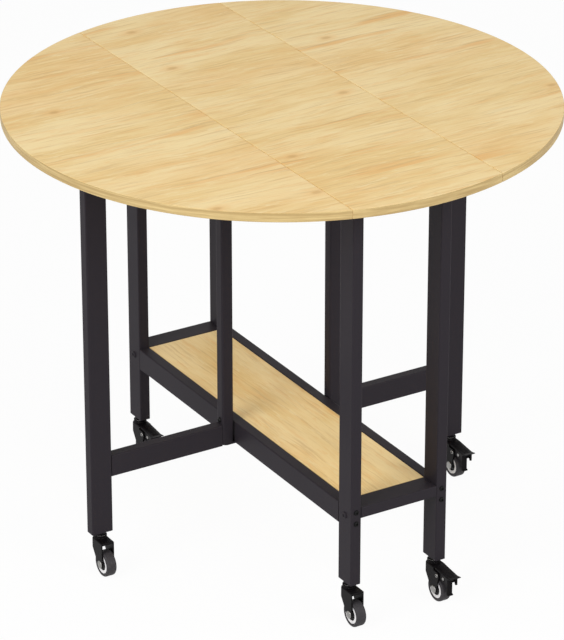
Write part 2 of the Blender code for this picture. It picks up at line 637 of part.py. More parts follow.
def pedal_solid():
    """Brake pedal in its caster's frame: tread, web with hub, shoe, two cheeks and two claws."""
    back = CROWN_RADIUS + PEDAL_CROWN_GAP
    front = back + PEDAL_LENGTH
    tip = front + PEDAL_TIP
    low = EAR_TOP + PEDAL_LIFT_OVER_EAR
    fall = PEDAL_FALL / PEDAL_LENGTH
    back_under = low + fall * (PEDAL_PIVOT.x + PEDAL_EAR_RADIUS - back)
    front_under = back_under - PEDAL_FALL
    tip_under = front_under + PEDAL_TIP_RISE + PEDAL_SHEET / 2
    tread = [
        (back, back_under),
        (front, front_under),
        (tip, tip_under),
        (tip, tip_under + PEDAL_SHEET / 2),
        (front, front_under + PEDAL_SHEET),
        (back, back_under + PEDAL_SHEET),
    ]
    solid = prism(tread, "Y", -PEDAL_WIDTH / 2, PEDAL_WIDTH / 2)
    web_half = WHEEL_WIDTH / 2 + WHEEL_SIDE_GAP - PEDAL_WEB_GAP
    shoe = TRAIL + WHEEL_RADIUS + SHOE_GAP
    shoe_foot = WHEEL_RADIUS
    hub = (PEDAL_PIVOT.x, PEDAL_PIVOT.z)
    inset = SHOE_SHEET / 8
    web = arc(hub, PEDAL_HUB_RADIUS, 180, 315, 2 * CORNER_STEPS)
    web += [
        (shoe, WHEEL_DIAMETER),
        (shoe + SHOE_SHEET, WHEEL_DIAMETER),
        (shoe + SHOE_SHEET, front_under + PEDAL_SHEET / 2),
        (back + inset, back_under + PEDAL_SHEET / 2),
        (back + inset, PEDAL_PIVOT.z + inset),
    ]
    solid = combine(solid, prism(web, "Y", -web_half, web_half), "UNION")
    shoe_plate = [
        (shoe + inset, PEDAL_PIVOT.z),
        (shoe + inset, shoe_foot),
        (shoe + SHOE_SHEET + SHOE_LIP, shoe_foot),
        (shoe + SHOE_SHEET + SHOE_LIP, shoe_foot + SHOE_SHEET / 2),
        (shoe + SHOE_SHEET - inset, shoe_foot + SHOE_SHEET),
        (shoe + SHOE_SHEET - inset, PEDAL_PIVOT.z),
    ]
    solid = combine(solid, prism(shoe_plate, "Y", -SHOE_WIDTH / 2, SHOE_WIDTH / 2), "UNION")
    cheek_back = PEDAL_PIVOT.x + PEDAL_EAR_RADIUS + CHEEK_EAR_GAP
    cheek_low = PEDAL_PIVOT.z - CHEEK_BELOW_PIN
    cheek = [
        (cheek_back, cheek_low),
        (front - CLAW_ROOT - CLAW_THICKNESS, cheek_low),
        (front - CLAW_ROOT / 2, front_under + PEDAL_SHEET / 2),
        (cheek_back, front_under + PEDAL_SHEET / 2),
    ]
    for side in (-1, 1):
        edge = side * PEDAL_WIDTH / 2
        ends = sorted((edge - side * inset, edge - side * CHEEK_SHEET))
        solid = combine(solid, prism(cheek, "Y", *ends), "UNION")
        claw = [
            (front - CLAW_THICKNESS, front_under - CLAW_LENGTH),
            (front, front_under - CLAW_LENGTH),
            (front, front_under + PEDAL_SHEET / 2),
            (front - CLAW_ROOT, front_under + PEDAL_SHEET / 2),
        ]
        ends = sorted((edge, edge - side * CLAW_WIDTH))
        solid = combine(solid, prism(claw, "Y", *ends), "UNION")
    bore = PEDAL_PIN / 2 + PEDAL_PIN_CLEARANCE
    hole = cylinder(bore, -2 * FORK_OUTER, 2 * FORK_OUTER, PIN_SIDES, "Y", PEDAL_PIVOT)
    return combine(solid, hole, "DIFFERENCE")


def build_casters(axes, black, tread, pale):
    """Six casters, of which three have a brake pedal."""
    gate_leg_y = GATE_REACH - TUBE_DEEP / 2
    places = [
        ("front_left", (-LEG_X, -LEG_Y, 0), None, True),
        ("front_right", (LEG_X, -LEG_Y, 0), None, False),
        ("rear_left", (-LEG_X, LEG_Y, 0), None, False),
        ("rear_right", (LEG_X, LEG_Y, 0), None, True),
        ("front_gate", (0, -gate_leg_y, 0), axes["front"], False),
        ("rear_gate", (0, gate_leg_y, 0), axes["rear"], True),
    ]
    for word, spot, carrier, braked in places:
        name = f"caster_{word}"
        add_piece(f"{name}_stem", stem_solid(), black, spot, carrier)
        swivel = add_pivot(f"{name}_swivel_axis", spot, carrier)
        add_piece(f"{name}_fork", fork_solid(braked), black, parent=swivel)
        axle = add_pivot(f"{name}_wheel_axis", (TRAIL, 0, WHEEL_RADIUS), swivel)
        add_piece(f"{name}_core", core_solid(), pale, parent=axle)
        add_piece(f"{name}_tyre", tyre_solid(), tread, parent=axle)
        if braked:
            pin = add_pivot(f"{name}_pedal_axis", PEDAL_PIVOT, swivel)
            add_piece(f"{name}_pedal", shifted(pedal_solid(), -PEDAL_PIVOT), black, parent=pin)


def main():
    """Build the table in an empty scene."""
    for item in list(bpy.data.objects):
        bpy.data.objects.remove(item)
    wood = make_material("pale_oak_laminate", (0.78, 0.57, 0.27), 0.45)
    coat = make_material("black_powder_coat", (0.036, 0.033, 0.036), 0.5)
    steel = make_material("zinc_plated_steel", (0.55, 0.55, 0.53), 0.35, 1.0)
    black = make_material("black_enamel", (0.02, 0.02, 0.022), 0.4)
    tread = make_material("dark_grey_tread", (0.06, 0.06, 0.065), 0.6)
    pale = make_material("light_grey_plastic", (0.62, 0.62, 0.63), 0.4)
    build_top(wood, steel)
    build_frame(coat, wood)
    axes = build_gates(coat)
    build_casters(axes, black, tread, pale)
    bpy.context.view_layer.update()


main()
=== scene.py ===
"""Looks of a round drop-leaf dining table on casters, laid out as an add-on and run as a script.

Every piece is modelled in metres, in the table's own frame: +Z up, the origin on the floor under
the middle of the top, X along the central frame and -Y towards the front leaf.
"""
import functools
import json
import math

import bmesh
import bpy
from bpy.props import FloatProperty, FloatVectorProperty, IntProperty, PointerProperty
from mathutils import Matrix, Vector

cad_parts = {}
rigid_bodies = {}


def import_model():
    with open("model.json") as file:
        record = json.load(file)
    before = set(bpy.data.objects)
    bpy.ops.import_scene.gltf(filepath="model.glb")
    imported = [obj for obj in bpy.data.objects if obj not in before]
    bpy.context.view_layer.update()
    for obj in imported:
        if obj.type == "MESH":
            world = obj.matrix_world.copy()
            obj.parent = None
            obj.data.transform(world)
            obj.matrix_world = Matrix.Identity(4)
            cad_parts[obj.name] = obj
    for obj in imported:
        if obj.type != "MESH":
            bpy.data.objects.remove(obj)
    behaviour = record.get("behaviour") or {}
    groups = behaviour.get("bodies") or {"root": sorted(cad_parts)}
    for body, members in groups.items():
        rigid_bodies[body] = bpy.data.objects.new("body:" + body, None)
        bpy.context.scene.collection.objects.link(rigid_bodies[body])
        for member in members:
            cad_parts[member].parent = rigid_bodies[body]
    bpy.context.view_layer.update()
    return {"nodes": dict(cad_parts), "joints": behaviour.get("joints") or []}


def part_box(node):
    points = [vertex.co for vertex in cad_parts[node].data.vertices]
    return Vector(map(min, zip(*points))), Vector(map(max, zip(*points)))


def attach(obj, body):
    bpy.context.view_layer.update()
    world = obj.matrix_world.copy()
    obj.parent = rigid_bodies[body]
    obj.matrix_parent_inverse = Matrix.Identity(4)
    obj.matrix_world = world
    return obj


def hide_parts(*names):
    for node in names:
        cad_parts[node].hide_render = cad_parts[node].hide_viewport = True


bl_info = {
    "name": "Drop-leaf table looks",
    "version": (1, 0, 0),
    "blender": (4, 5, 0),
    "location": "3D View > Sidebar > Table",
    "description": "Finished boards, tube frame, gates, hinges and casters of a folding table",
    "category": "Object",
}

for leftover in list(bpy.data.objects):
    bpy.data.objects.remove(leftover)
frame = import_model()
BOX = {name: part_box(name) for name in frame["nodes"]}

MM = 0.001
SIDES = (("front", -1), ("rear", 1))
ENDS = (("left", -1), ("right", 1))
CASTERS = ("front_left", "front_right", "rear_left", "rear_right", "front_gate", "rear_gate")
BRAKED = ("front_left", "rear_right", "rear_gate")

# Facets of round forms
RIM_STEPS = 256
RIM_EASE_STEPS = 3
CORNER_STEPS = 6
WHEEL_STEPS = 72
STEM_STEPS = 48
PIN_STEPS = 32
SMALL_ARC_STEPS = 4
CORE_EASE_STEPS = 3
HEAD_STEPS = 32
RIB_STEPS = 12
HEX_SIDES = 6

# Limits that tell points, edges and faces apart
TINY = MM / 1000
NEAR = MM / 100
LEVEL_LIMIT = 0.9
LEAN_LIMIT = 0.5
RIM_SHARE = 0.9
FLAT_SHARE = 6
CREASE = math.radians(38)
SHARP = math.radians(35)
STRAIGHT = math.radians(0.5)

# All pieces
SEAT_GAP = 0.3 * MM
EDGE_EASE = 0.6 * MM
REACH_PAST = 1 * MM

# Boards
SEAM_FILL = 0.13 * MM
SEAM_LIP = 0.45 * MM
SEAM_LIP_HEIGHT = 1 * MM

# Tubes
TUBE_WALL = 1.5 * MM
TUBE_CORNER = 2.0 * MM
POST_CORNER = 3.0 * MM
LEG_PLUG = 6 * MM
PLUG_RECESS = 0.6 * MM
STUD_HOLE = 8.8 * MM
PIVOT_PIN = 8 * MM
PIVOT_BORE = 8.6 * MM
PIVOT_PIN_LENGTH = 12 * MM
LUG_THICKNESS = 3 * MM
TAB_LENGTH = 30 * MM
TAB_REACH = 15 * MM
TAB_THICKNESS = 2 * MM
TAB_COUNT = 3

# Hinges
KNUCKLE_LENGTH = 20 * MM
KNUCKLE_GAP = 0.5 * MM
HINGE_SHEET = 1.6 * MM
HINGE_INSET = HINGE_SHEET / 8
HINGE_CORNER = 4 * MM
HINGE_PIN = 3 * MM
HINGE_PIN_CLEARANCE = 0.4 * MM
SCREW_HOLE = 4 * MM

# Bolts, from the middle of the lower rails, and the gate screws, from the top of the stretchers
FRAME_BOLT_RISES = (12.5 * MM, -7.5 * MM)
LEG_BOLT_RISE = 2.5 * MM
GATE_SCREW_RISE = 7 * MM

# Fastener heads, as shares of their radius and height
HEAD_SHOULDER = 0.94
HEAD_CROWN = 0.70
HEAD_FOOT = 0.55
HEAD_OVERLAP = 0.001
HEX_SOCKET = 0.46
CROSS_SLOT = 0.22

# Casters
TRAIL = 18 * MM
FORK_SHEET = 2.0 * MM
FORK_SHOULDER = 24 * MM
FORK_END_RADIUS = 7 * MM
CROWN_RADIUS = 13 * MM
CROWN_SKIRT = 4 * MM
CROWN_EASE = 1.8 * MM
RACE_DIAMETER = 22 * MM
RACE_CUP = 1.9 * MM
NECK_DIAMETER = 17 * MM
NECK_HEIGHT = 4.4 * MM
# Height of each bright zinc band on a stem's race, a painted highlight
PAINTED_HIGHLIGHT_BAND = 0.5 * MM
STUD_DIAMETER = 8 * MM
KINGPIN_DIAMETER = 9 * MM
KINGPIN_HOLE = 9.8 * MM
KINGPIN_HEAD = 14 * MM
KINGPIN_HEAD_HEIGHT = 2 * MM
AXLE_DIAMETER = 8 * MM
AXLE_CLEARANCE = 0.3 * MM
AXLE_HEAD = 13 * MM
PIN_HOLE_CLEARANCE = 0.05 * MM
RIVET_HEIGHT = 1.2 * MM
TREAD_SHOULDER = 3.0 * MM
TREAD_LIP_START = 0.4 * MM
TREAD_LIP_DROP = 0.3 * MM
TREAD_LIP = 1.2 * MM
MOULDING_LINE = 0.15 * MM
RING_WIDTH = 5.5 * MM
RING_INSET = 0.9 * MM
DISH_INSET = 3.5 * MM
HUB_DIAMETER = 14 * MM
CORE_EASE = 0.5 * MM

# Brake pedals
PEDAL_AHEAD = 8 * MM
PEDAL_ABOVE = 6.5 * MM
PEDAL_PIN = 4 * MM
PEDAL_PIN_HEAD = 6.5 * MM
PEDAL_PIN_HOLE = 3.4 * MM
PEDAL_PIN_CLEARANCE = 0.4 * MM
PEDAL_EAR_RADIUS = 5.5 * MM
PEDAL_HUB_RADIUS = 4.2 * MM
PEDAL_BACK = 17 * MM
PEDAL_BACK_GAP = 0.4 * MM
PEDAL_TAIL = 4.5 * MM
PEDAL_TAIL_RISE = 6.8 * MM
PEDAL_LENGTH = 38 * MM
PEDAL_FALL = 4 * MM
PEDAL_SHEET = 3 * MM
PEDAL_TIP = 10 * MM
PEDAL_TIP_RISE = 2 * MM
PEDAL_LIFT = 2 * MM
SHOE_GAP = 5.5 * MM
SHOE_SHEET = 3.2 * MM
SHOE_WIDTH = 9.5 * MM
SHOE_LIP = 2.5 * MM
SHOE_EASE = 0.4 * MM
WELD_SINK = SHOE_SHEET / 8
CHEEK_EAR_GAP = 1 * MM
CHEEK_SHEET = 2.4 * MM
CHEEK_CORNER = 3 * MM
CHEEK_EASE = 0.3 * MM
CHEEK_BELOW_PIN = 3.5 * MM
CHEEK_RIVET = 5.5 * MM
CHEEK_RIVET_HEIGHT = 0.9 * MM
CHEEK_RIVET_AHEAD = 16 * MM
CHEEK_RIVET_ABOVE = 0.9 * MM
CLAW_WIDTH = 3.5 * MM
CLAW_LENGTH = 14 * MM
CLAW_THICKNESS = 2 * MM
CLAW_ROOT = 10 * MM
CLAW_INSET = 0.1 * MM
RIB_START = 4 * MM
RIB_STOP = 1 * MM
RIB_SIDE_MARGIN = 2.5 * MM
RIB_FLATNESS = 0.7
RIB_SINK = 1 / 5

# Stage: each lamp has a name, a place, a diameter and a power in watts
FLOOR_REACH = 40.0
FLOOR_DROP = 0.5 * MM
FLOOR_WHITE = 0.95
LAMPS = (
    ("front_lamp", (1.2, -4.6, 3.2), 3.5, 185),
    ("side_lamp", (4.8, 1.0, 3.2), 3.5, 165),
)
LAMP_AIM = Vector((0, 0, 0.4))
SENSOR_WIDTH = 36
CLIP_END = 200
SEEN_BY = ("Is Camera Ray", "Is Glossy Ray", "Is Transmission Ray")


def colour_property(name, description, default):
    """Colour that a user may change, as linear red, green and blue."""
    return FloatVectorProperty(
        name=name, description=description, subtype="COLOR", size=3, min=0, max=1, default=default
    )


def length_property(name, description, default):
    """Length that a user may change."""
    return FloatProperty(
        name=name, description=description, unit="LENGTH", subtype="DISTANCE", min=0, default=default
    )


class BoardSettings(bpy.types.PropertyGroup):
    """Edges and oak colours of the top and the shelf."""

    rim_ease: length_property("Rim ease", "Round on the edges of the rim", 1.0 * MM)
    seam_ease: length_property("Seam ease", "Round on the edges along the seams", 0.06 * MM)
    cream: colour_property("Cream", "Palest patches of the oak", (0.905, 0.71, 0.365))
    ash: colour_property("Ash", "Pale grey fibres of the oak", (0.90, 0.74, 0.415))
    honey: colour_property("Honey", "Yellow patches of the oak", (0.80, 0.56, 0.222))
    amber: colour_property("Amber", "Orange streaks of the oak", (0.79, 0.44, 0.133))
    knot: colour_property("Knot", "Brown of knots and hairlines", (0.42, 0.225, 0.075))
    band: colour_property("Band", "Pale streaks of the edge band round the boards", (0.62, 0.465, 0.212))
    rim: colour_property("Rim", "Deep streaks of the edge band", (0.42, 0.292, 0.12))


class FrameSettings(bpy.types.PropertyGroup):
    """Finish and fasteners of the tube frame and the gates."""

    coat: colour_property("Powder coat", "Black of the tubes", (0.0237, 0.0200, 0.0247))
    coat_roughness: FloatProperty(
        name="Coat roughness", description="Roughness of the powder coat", subtype="FACTOR",
        min=0, max=1, default=0.46,
    )
    bolt_head: length_property("Bolt head", "Diameter of a frame bolt's head", 9 * MM)
    bolt_height: length_property("Bolt height", "Height of a frame bolt's head", 2.4 * MM)
    cap_head: length_property("Leg bolt head", "Diameter of a coated bolt's head on a leg's side", 12 * MM)
    screw_head: length_property("Screw head", "Diameter of a hinge screw's head", 6.5 * MM)
    screw_height: length_property("Screw height", "Height of a hinge screw's head", 1.3 * MM)
    zinc: colour_property("Zinc", "Plating of hinges, pins and rivets", (0.58, 0.57, 0.55))


class CasterSettings(bpy.types.PropertyGroup):
    """Finish of the casters and the ribs of their pedals."""

    enamel: colour_property("Enamel", "Black of forks and pedals", (0.0060, 0.0052, 0.0058))
    tread: colour_property("Tread", "Dark grey of the tyres", (0.0245, 0.0220, 0.0250))
    ring: colour_property("Ring", "Pale grey of the wheel rings", (0.80, 0.79, 0.80))
    rib_count: IntProperty(name="Ribs", description="Ribs across a pedal", min=2, max=24, default=11)
    rib_width: length_property("Rib width", "Width of a pedal rib", 1.7 * MM)


class StageSettings(bpy.types.PropertyGroup):
    """Camera and light."""

    azimuth: FloatProperty(
        name="Azimuth", description="Camera angle round the table", subtype="ANGLE",
        default=math.radians(58.89),
    )
    elevation: FloatProperty(
        name="Elevation", description="Camera angle above the floor", subtype="ANGLE",
        default=math.radians(25.32),
    )
    distance: length_property("Distance", "From the camera to the point it looks at", 6.461)
    aim_height: length_property("Aim height", "Height of the point that the camera looks at", 0.3741)
    lens: FloatProperty(
        name="Lens", description="Focal length in millimetres", subtype="DISTANCE_CAMERA", default=221.81
    )
    dome: FloatProperty(name="Dome", description="Strength of the even light", min=0, default=0.40)
    floor: colour_property("Floor", "Pale floor", (0.86, 0.86, 0.86))


def boards():
    """Settings of the boards."""
    return bpy.context.scene.table_boards


def tubes():
    """Settings of the frame."""
    return bpy.context.scene.table_frame


def wheels():
    """Settings of the casters."""
    return bpy.context.scene.table_casters


# Node trees


def operation(kind, reflected=False):
    """Method that adds a Math node for an operator, or for its reflected form."""

    def apply(self, other):
        first, second = (other, self) if reflected else (self, other)
        return self.graph.math(kind, first, second)

    return apply


class Level:
    """A socket whose value varies over a surface or with a tree's inputs; arithmetic adds Math nodes."""

    def __init__(self, graph, socket):
        self.graph = graph
        self.socket = socket

    __add__ = operation("ADD")
    __radd__ = operation("ADD", reflected=True)
    __sub__ = operation("SUBTRACT")
    __rsub__ = operation("SUBTRACT", reflected=True)
    __mul__ = operation("MULTIPLY")
    __rmul__ = operation("MULTIPLY", reflected=True)
    __truediv__ = operation("DIVIDE")
    __rtruediv__ = operation("DIVIDE", reflected=True)


class Graph:
    """A node tree in the making."""

    def __init__(self, tree):
        self.tree = tree

    def feed(self, socket, value):
        """Links a level, or each level of a list, to a socket, or sets the socket to a plain value."""
        for item in value if isinstance(value, list) else [value]:
            if isinstance(item, Level):
                self.tree.links.new(item.socket, socket)
            else:
                socket.default_value = item

    def node(self, kind, settings=None, sockets=None, output=0):
        """Adds a node: its settings first, then the values or links of its sockets."""
        made = self.tree.nodes.new(kind)
        for key, value in (settings or {}).items():
            setattr(made, key, value)
        for key, value in (sockets or {}).items():
            self.feed(made.inputs[key], value)
        return Level(self, made.outputs[output])

    def math(self, kind, first, second):
        """One Math node."""
        return self.node("ShaderNodeMath", {"operation": kind}, {0: first, 1: second})


class Finish(Graph):
    """A node material in the making."""

    def __init__(self, material):
        material.use_nodes = True
        super().__init__(material.node_tree)
        self.material = material
        self.shader = self.tree.nodes.get("Principled BSDF")

    def places(self, scale=(1, 1, 1), shift=(0, 0, 0), turn=0.0, source=None):
        """Object coordinates, or those of a source, moved, turned about Z and stretched."""
        if source is None:
            source = self.node("ShaderNodeTexCoord", output="Object")
        sockets = {"Vector": source, "Location": shift, "Rotation": (0, 0, turn), "Scale": scale}
        return self.node("ShaderNodeMapping", sockets=sockets)

    def noise(self, vector, scale=1.0, detail=2.0, roughness=0.5, distortion=0.0):
        """Noise between 0 and 1."""
        sockets = {
            "Vector": vector,
            "Scale": scale,
            "Detail": detail,
            "Roughness": roughness,
            "Distortion": distortion,
        }
        return self.node("ShaderNodeTexNoise", sockets=sockets, output="Fac")

    def between(self, level, low, high):
        """0 at low and 1 at high, with a smooth change between them and none beyond."""
        settings = {"interpolation_type": "SMOOTHSTEP"}
        return self.node("ShaderNodeMapRange", settings, {0: level, 1: low, 2: high})

    def mix(self, factor, first, second):
        """Colour between two colours."""
        sockets = {0: factor}
        for index, colour in ((6, first), (7, second)):
            sockets[index] = colour if isinstance(colour, Level) else (*colour, 1)
        return self.node("ShaderNodeMix", {"data_type": "RGBA"}, sockets, output=2)

    def bump(self, height, distance, strength):
        """Normal of a surface with a fine relief."""
        sockets = {"Height": height, "Distance": distance, "Strength": strength}
        return self.node("ShaderNodeBump", sockets=sockets)

    def set(self, **values):
        """Feeds the shader's sockets, named with underscores for spaces."""
        for key, value in values.items():
            socket = self.shader.inputs[key.replace("_", " ")]
            if not isinstance(value, Level) and socket.type == "RGBA":
                value = (*value, 1)
            self.feed(socket, value)
        return self.material


@functools.cache
def finish_of(maker, *options):
    """The material that a maker function gives for these options, made once."""
    name = "_".join((maker.__name__, *options))
    return maker(Finish(bpy.data.materials.new(name)), *options)


def tinted(colour, factor, lift=0.0):
    """A colour made lighter or darker by a factor, and lifted evenly."""
    return tuple(factor * part + lift for part in colour)


# Finishes


def oak_face(wood, board):
    """Oak laminate: cream and honey patches, wavy grain, brown hairlines, streaks and small knots."""
    look = boards()
    shifts = {"front": (3.1, 0.4, 0), "centre": (0.35, 7.3, 0), "rear": (5.7, 2.2, 0), "shelf": (9.2, 4.1, 0)}
    turn = math.radians(90) if board == "shelf" else 0
    flat = wood.places(shift=shifts[board], turn=turn)

    def layer(source, scale, shift=(0, 0), detail=2.0, roughness=0.5):
        place = wood.places((*scale, 1), (*shift, 0), source=source)
        return wood.noise(place, detail=detail, roughness=roughness)

    sway = layer(flat, (2.4, 1.3), detail=1)
    ripple = layer(flat, (16, 9))
    aside = (sway - 0.5) * 0.06 + (ripple - 0.5) * 0.014
    bend = wood.node("ShaderNodeCombineXYZ", sockets={"X": aside})
    grain = wood.node("ShaderNodeVectorMath", {"operation": "ADD"}, {0: flat, 1: bend})
    patches = layer(grain, (15, 3.4), detail=4, roughness=0.6)
    warmth = layer(grain, (6, 2.2), (1.3, 0.2))
    figure = layer(grain, (70, 9), (2.6, 1.9), detail=5, roughness=0.66)
    fibres = layer(grain, (250, 9), (0.4, 3.3), detail=3, roughness=0.65)
    lines = layer(grain, (560, 16), roughness=0.6)
    dashes = layer(grain, (100, 15), (3.7, 0.6), detail=4, roughness=0.72)
    streak = layer(grain, (36, 3.4), (5.1, 2.7), detail=3)
    beside = layer(grain, (36, 3.4), (5.14, 2.7), detail=3)
    colour = wood.mix(0.1 + wood.between(patches, 0.36, 0.64) * 0.8, look.honey, look.cream)
    for level, low, high, share, tint in (
        (warmth, 0.45, 0.72, 0.28, look.amber),
        (figure, 0.50, 0.70, 0.32, look.amber),
        (figure, 0.48, 0.30, 0.40, look.cream),
        (fibres, 0.50, 0.72, 0.32, look.knot),
        (fibres, 0.48, 0.28, 0.40, look.cream),
        (lines, 0.52, 0.78, 0.18, look.knot),
        (dashes, 0.57, 0.64, 0.26, look.amber),
        (dashes, 0.43, 0.36, 0.40, look.ash),
        (streak, 0.60, 0.74, 0.72, look.amber),
    ):
        colour = wood.mix(wood.between(level, low, high) * share, colour, tint)
    hairline = wood.between(streak, 0.60, 0.63) * wood.between(beside - streak, 0.004, 0.03)
    colour = wood.mix(hairline * 0.34, colour, look.knot)
    cells = {"Vector": wood.places((8.5, 5.2, 1), (0.31, 0.77, 0), source=flat), "Scale": 1.0}
    reach = wood.node("ShaderNodeTexVoronoi", {"voronoi_dimensions": "2D"}, cells, "Distance")
    lot = wood.node("ShaderNodeTexVoronoi", {"voronoi_dimensions": "2D"}, cells, "Color")
    chosen = 1 - wood.between(lot, 0.36, 0.38)
    ragged = reach + (fibres - 0.5) * 0.05
    halo = (1 - wood.between(ragged, 0.03, 0.17)) * chosen
    heart = (1 - wood.between(ragged, 0.016, 0.07)) * chosen
    colour = wood.mix(halo * 0.38, colour, look.amber)
    colour = wood.mix(heart * 0.34, colour, look.knot)
    relief = lines * 0.5 + fibres * 0.4 - hairline * 0.3 - heart * 0.4
    return wood.set(
        Base_Color=colour,
        Roughness=0.40 + lines * 0.10 + heart * 0.1,
        Normal=wood.bump(relief, 0.00025, 0.35),
        Specular_IOR_Level=0.3,
    )


def oak_edge(wood, board):
    """Oak edge band: level streaks round the rim, deeper in colour than the faces."""
    look = boards()
    shift = {"front": (0, 0, 0), "centre": (3, 0, 0), "rear": (0, 5, 0), "shelf": (1, 2, 0)}[board]
    streaks = wood.noise(wood.places((9, 9, 240), shift), detail=3, roughness=0.6)
    patches = wood.noise(wood.places((14, 14, 30), shift))
    fine = wood.noise(wood.places((60, 60, 900), shift))
    colour = wood.mix(wood.between(streaks, 0.35, 0.7), look.rim, look.band)
    colour = wood.mix(wood.between(patches, 0.45, 0.75) * 0.4, colour, look.rim)
    colour = wood.mix(wood.between(fine, 0.5, 0.8) * 0.25, colour, look.knot)
    return wood.set(
        Base_Color=colour,
        Roughness=0.45 + streaks * 0.12,
        Normal=wood.bump(streaks + fine * 0.4, 0.0002, 0.3),
        Specular_IOR_Level=0.3,
    )


def powder_coat(coat):
    """Black powder coat: fine orange-peel relief, dull patches and faint rubbed spots."""
    look = tubes()
    peel = coat.noise(coat.places(), 1400)
    dull = coat.noise(coat.places(), 9, detail=4, roughness=0.6)
    grit = coat.noise(coat.places(shift=(2, 5, 1)), 420, detail=3, roughness=0.7)
    rubbed = coat.between(dull, 0.58, 0.78) * coat.between(grit, 0.5, 0.8)
    return coat.set(
        Base_Color=coat.mix(rubbed * 0.55, look.coat, tinted(look.coat, 1.6)),
        Roughness=look.coat_roughness - 0.06 + dull * 0.12 + peel * 0.05,
        Normal=coat.bump(peel, 0.00008, 0.35),
        Specular_IOR_Level=0.075,
    )


def enamel(paint):
    """Black enamel of the pressed caster parts, with scuffs that dull it."""
    look = wheels()
    scuff = paint.noise(paint.places((1, 1, 1.8)), 120, detail=4, roughness=0.65)
    peel = paint.noise(paint.places(shift=(1, 2, 3)), 900)
    worn = paint.between(scuff, 0.60, 0.78)
    return paint.set(
        Base_Color=paint.mix(worn * 0.6, look.enamel, tinted(look.enamel, 3.5, 0.006)),
        Roughness=0.34 + worn * 0.2 + peel * 0.06,
        Normal=paint.bump(peel, 0.00006, 0.3),
        Specular_IOR_Level=0.055,
    )


def tread_rubber(rubber):
    """Dark grey tread with a fine matt grain and dust in its pores."""
    look = wheels()
    grain = rubber.noise(rubber.places(), 1100, detail=3, roughness=0.7)
    dust = rubber.noise(rubber.places(), 160, detail=4, roughness=0.6)
    dusty = rubber.between(dust, 0.45, 0.8) * 0.55
    return rubber.set(
        Base_Color=rubber.mix(dusty, look.tread, tinted(look.tread, 1.9, 0.01)),
        Roughness=0.58 + grain * 0.16,
        Normal=rubber.bump(grain, 0.0001, 0.4),
        Specular_IOR_Level=0.35,
    )


def ring_plastic(plastic):
    """Pale grey moulded plastic with faint flow marks."""
    look = wheels()
    flow = plastic.noise(plastic.places((1, 3, 1)), 130, detail=3, distortion=0.6)
    speck = plastic.noise(plastic.places(), 1500)
    return plastic.set(
        Base_Color=plastic.mix(plastic.between(flow, 0.4, 0.75) * 0.5, look.ring, tinted(look.ring, 0.82)),
        Roughness=0.36 + flow * 0.12,
        Normal=plastic.bump(speck, 0.00005, 0.25),
    )


def hub_plastic(plastic):
    """Black moulded plastic of the hubs and foot plugs."""
    black = (0.009, 0.009, 0.010)
    grey = (0.020, 0.019, 0.020)
    grain = plastic.noise(plastic.places(), 800, detail=3, roughness=0.6)
    cloud = plastic.noise(plastic.places(shift=(4, 1, 2)), 140, detail=3)
    return plastic.set(
        Base_Color=plastic.mix(plastic.between(cloud, 0.4, 0.8), black, grey),
        Roughness=0.42 + grain * 0.14,
        Normal=plastic.bump(grain, 0.00008, 0.3),
        Specular_IOR_Level=0.4,
    )


def zinc_plate(metal, state="bright"):
    """Zinc-plated steel with a fine brushed relief and dull spots; darker in its dull state."""
    plating = tinted(tubes().zinc, 0.5 if state == "dull" else 1.0)
    brushed = metal.noise(metal.places((60, 900, 900)), detail=3, roughness=0.6)
    spots = metal.noise(metal.places(shift=(3, 3, 3)), 170, detail=4, roughness=0.65)
    return metal.set(
        Base_Color=metal.mix(metal.between(spots, 0.48, 0.75) * 0.7, plating, tinted(plating, 0.62)),
        Metallic=1.0,
        Roughness=0.26 + brushed * 0.14 + metal.between(spots, 0.5, 0.8) * 0.15,
        Normal=metal.bump(brushed, 0.00005, 0.3),
    )


def bolt_black(steel):
    """Blackened bolt steel, deepened to near black as painted shade round the heads, worn a little on its
    high spots.
    """
    # Near black: the bolts' own black, deepened as painted shade for the shadow round their heads.
    black = (0.0015, 0.0015, 0.0016)
    worn = (0.012, 0.011, 0.011)
    wear = steel.noise(steel.places(), 520, detail=4, roughness=0.7)
    return steel.set(
        Base_Color=steel.mix(steel.between(wear, 0.55, 0.8) * 0.8, black, worn),
        Roughness=0.34 + wear * 0.2,
        Normal=steel.bump(wear, 0.00006, 0.3),
        Specular_IOR_Level=0.15,
    )


# Mesh tools


def arc(centre, radius, start, end, steps):
    """Points along an arc, angles in degrees, both ends included."""
    points = []
    for step in range(steps + 1):
        angle = math.radians(start + (end - start) * step / steps)
        points.append((centre[0] + radius * math.cos(angle), centre[1] + radius * math.sin(angle)))
    return points


def rounded_rectangle(width, height, radius):
    """Outline of a rectangle about the origin with round corners."""
    points = []
    for sign_u, sign_v, start in ((1, 1, 0), (-1, 1, 90), (-1, -1, 180), (1, -1, 270)):
        centre = (sign_u * (width / 2 - radius), sign_v * (height / 2 - radius))
        points += arc(centre, radius, start, start + 90, CORNER_STEPS)
    return points


def box_outline(low_u, low_v, high_u, high_v):
    """Outline of a plain rectangle."""
    return [(low_u, low_v), (high_u, low_v), (high_u, high_v), (low_u, high_v)]


def along(axis, u, v, w):
    """Point of an outline (u, v) at w along the axis of extrusion."""
    if axis == "X":
        return Vector((w, u, v))
    if axis == "Y":
        return Vector((u, w, v))
    return Vector((u, v, w))


def prism(outline, axis, low, high):
    """Closed solid: an outline extruded along an axis from low to high."""
    solid = bmesh.new()
    face = solid.faces.new([solid.verts.new(along(axis, u, v, low)) for u, v in outline])
    extruded = bmesh.ops.extrude_face_region(solid, geom=[face])
    moved = [item for item in extruded["geom"] if isinstance(item, bmesh.types.BMVert)]
    bmesh.ops.translate(solid, vec=along(axis, 0, 0, high - low), verts=moved)
    bmesh.ops.recalc_face_normals(solid, faces=solid.faces)
    return solid


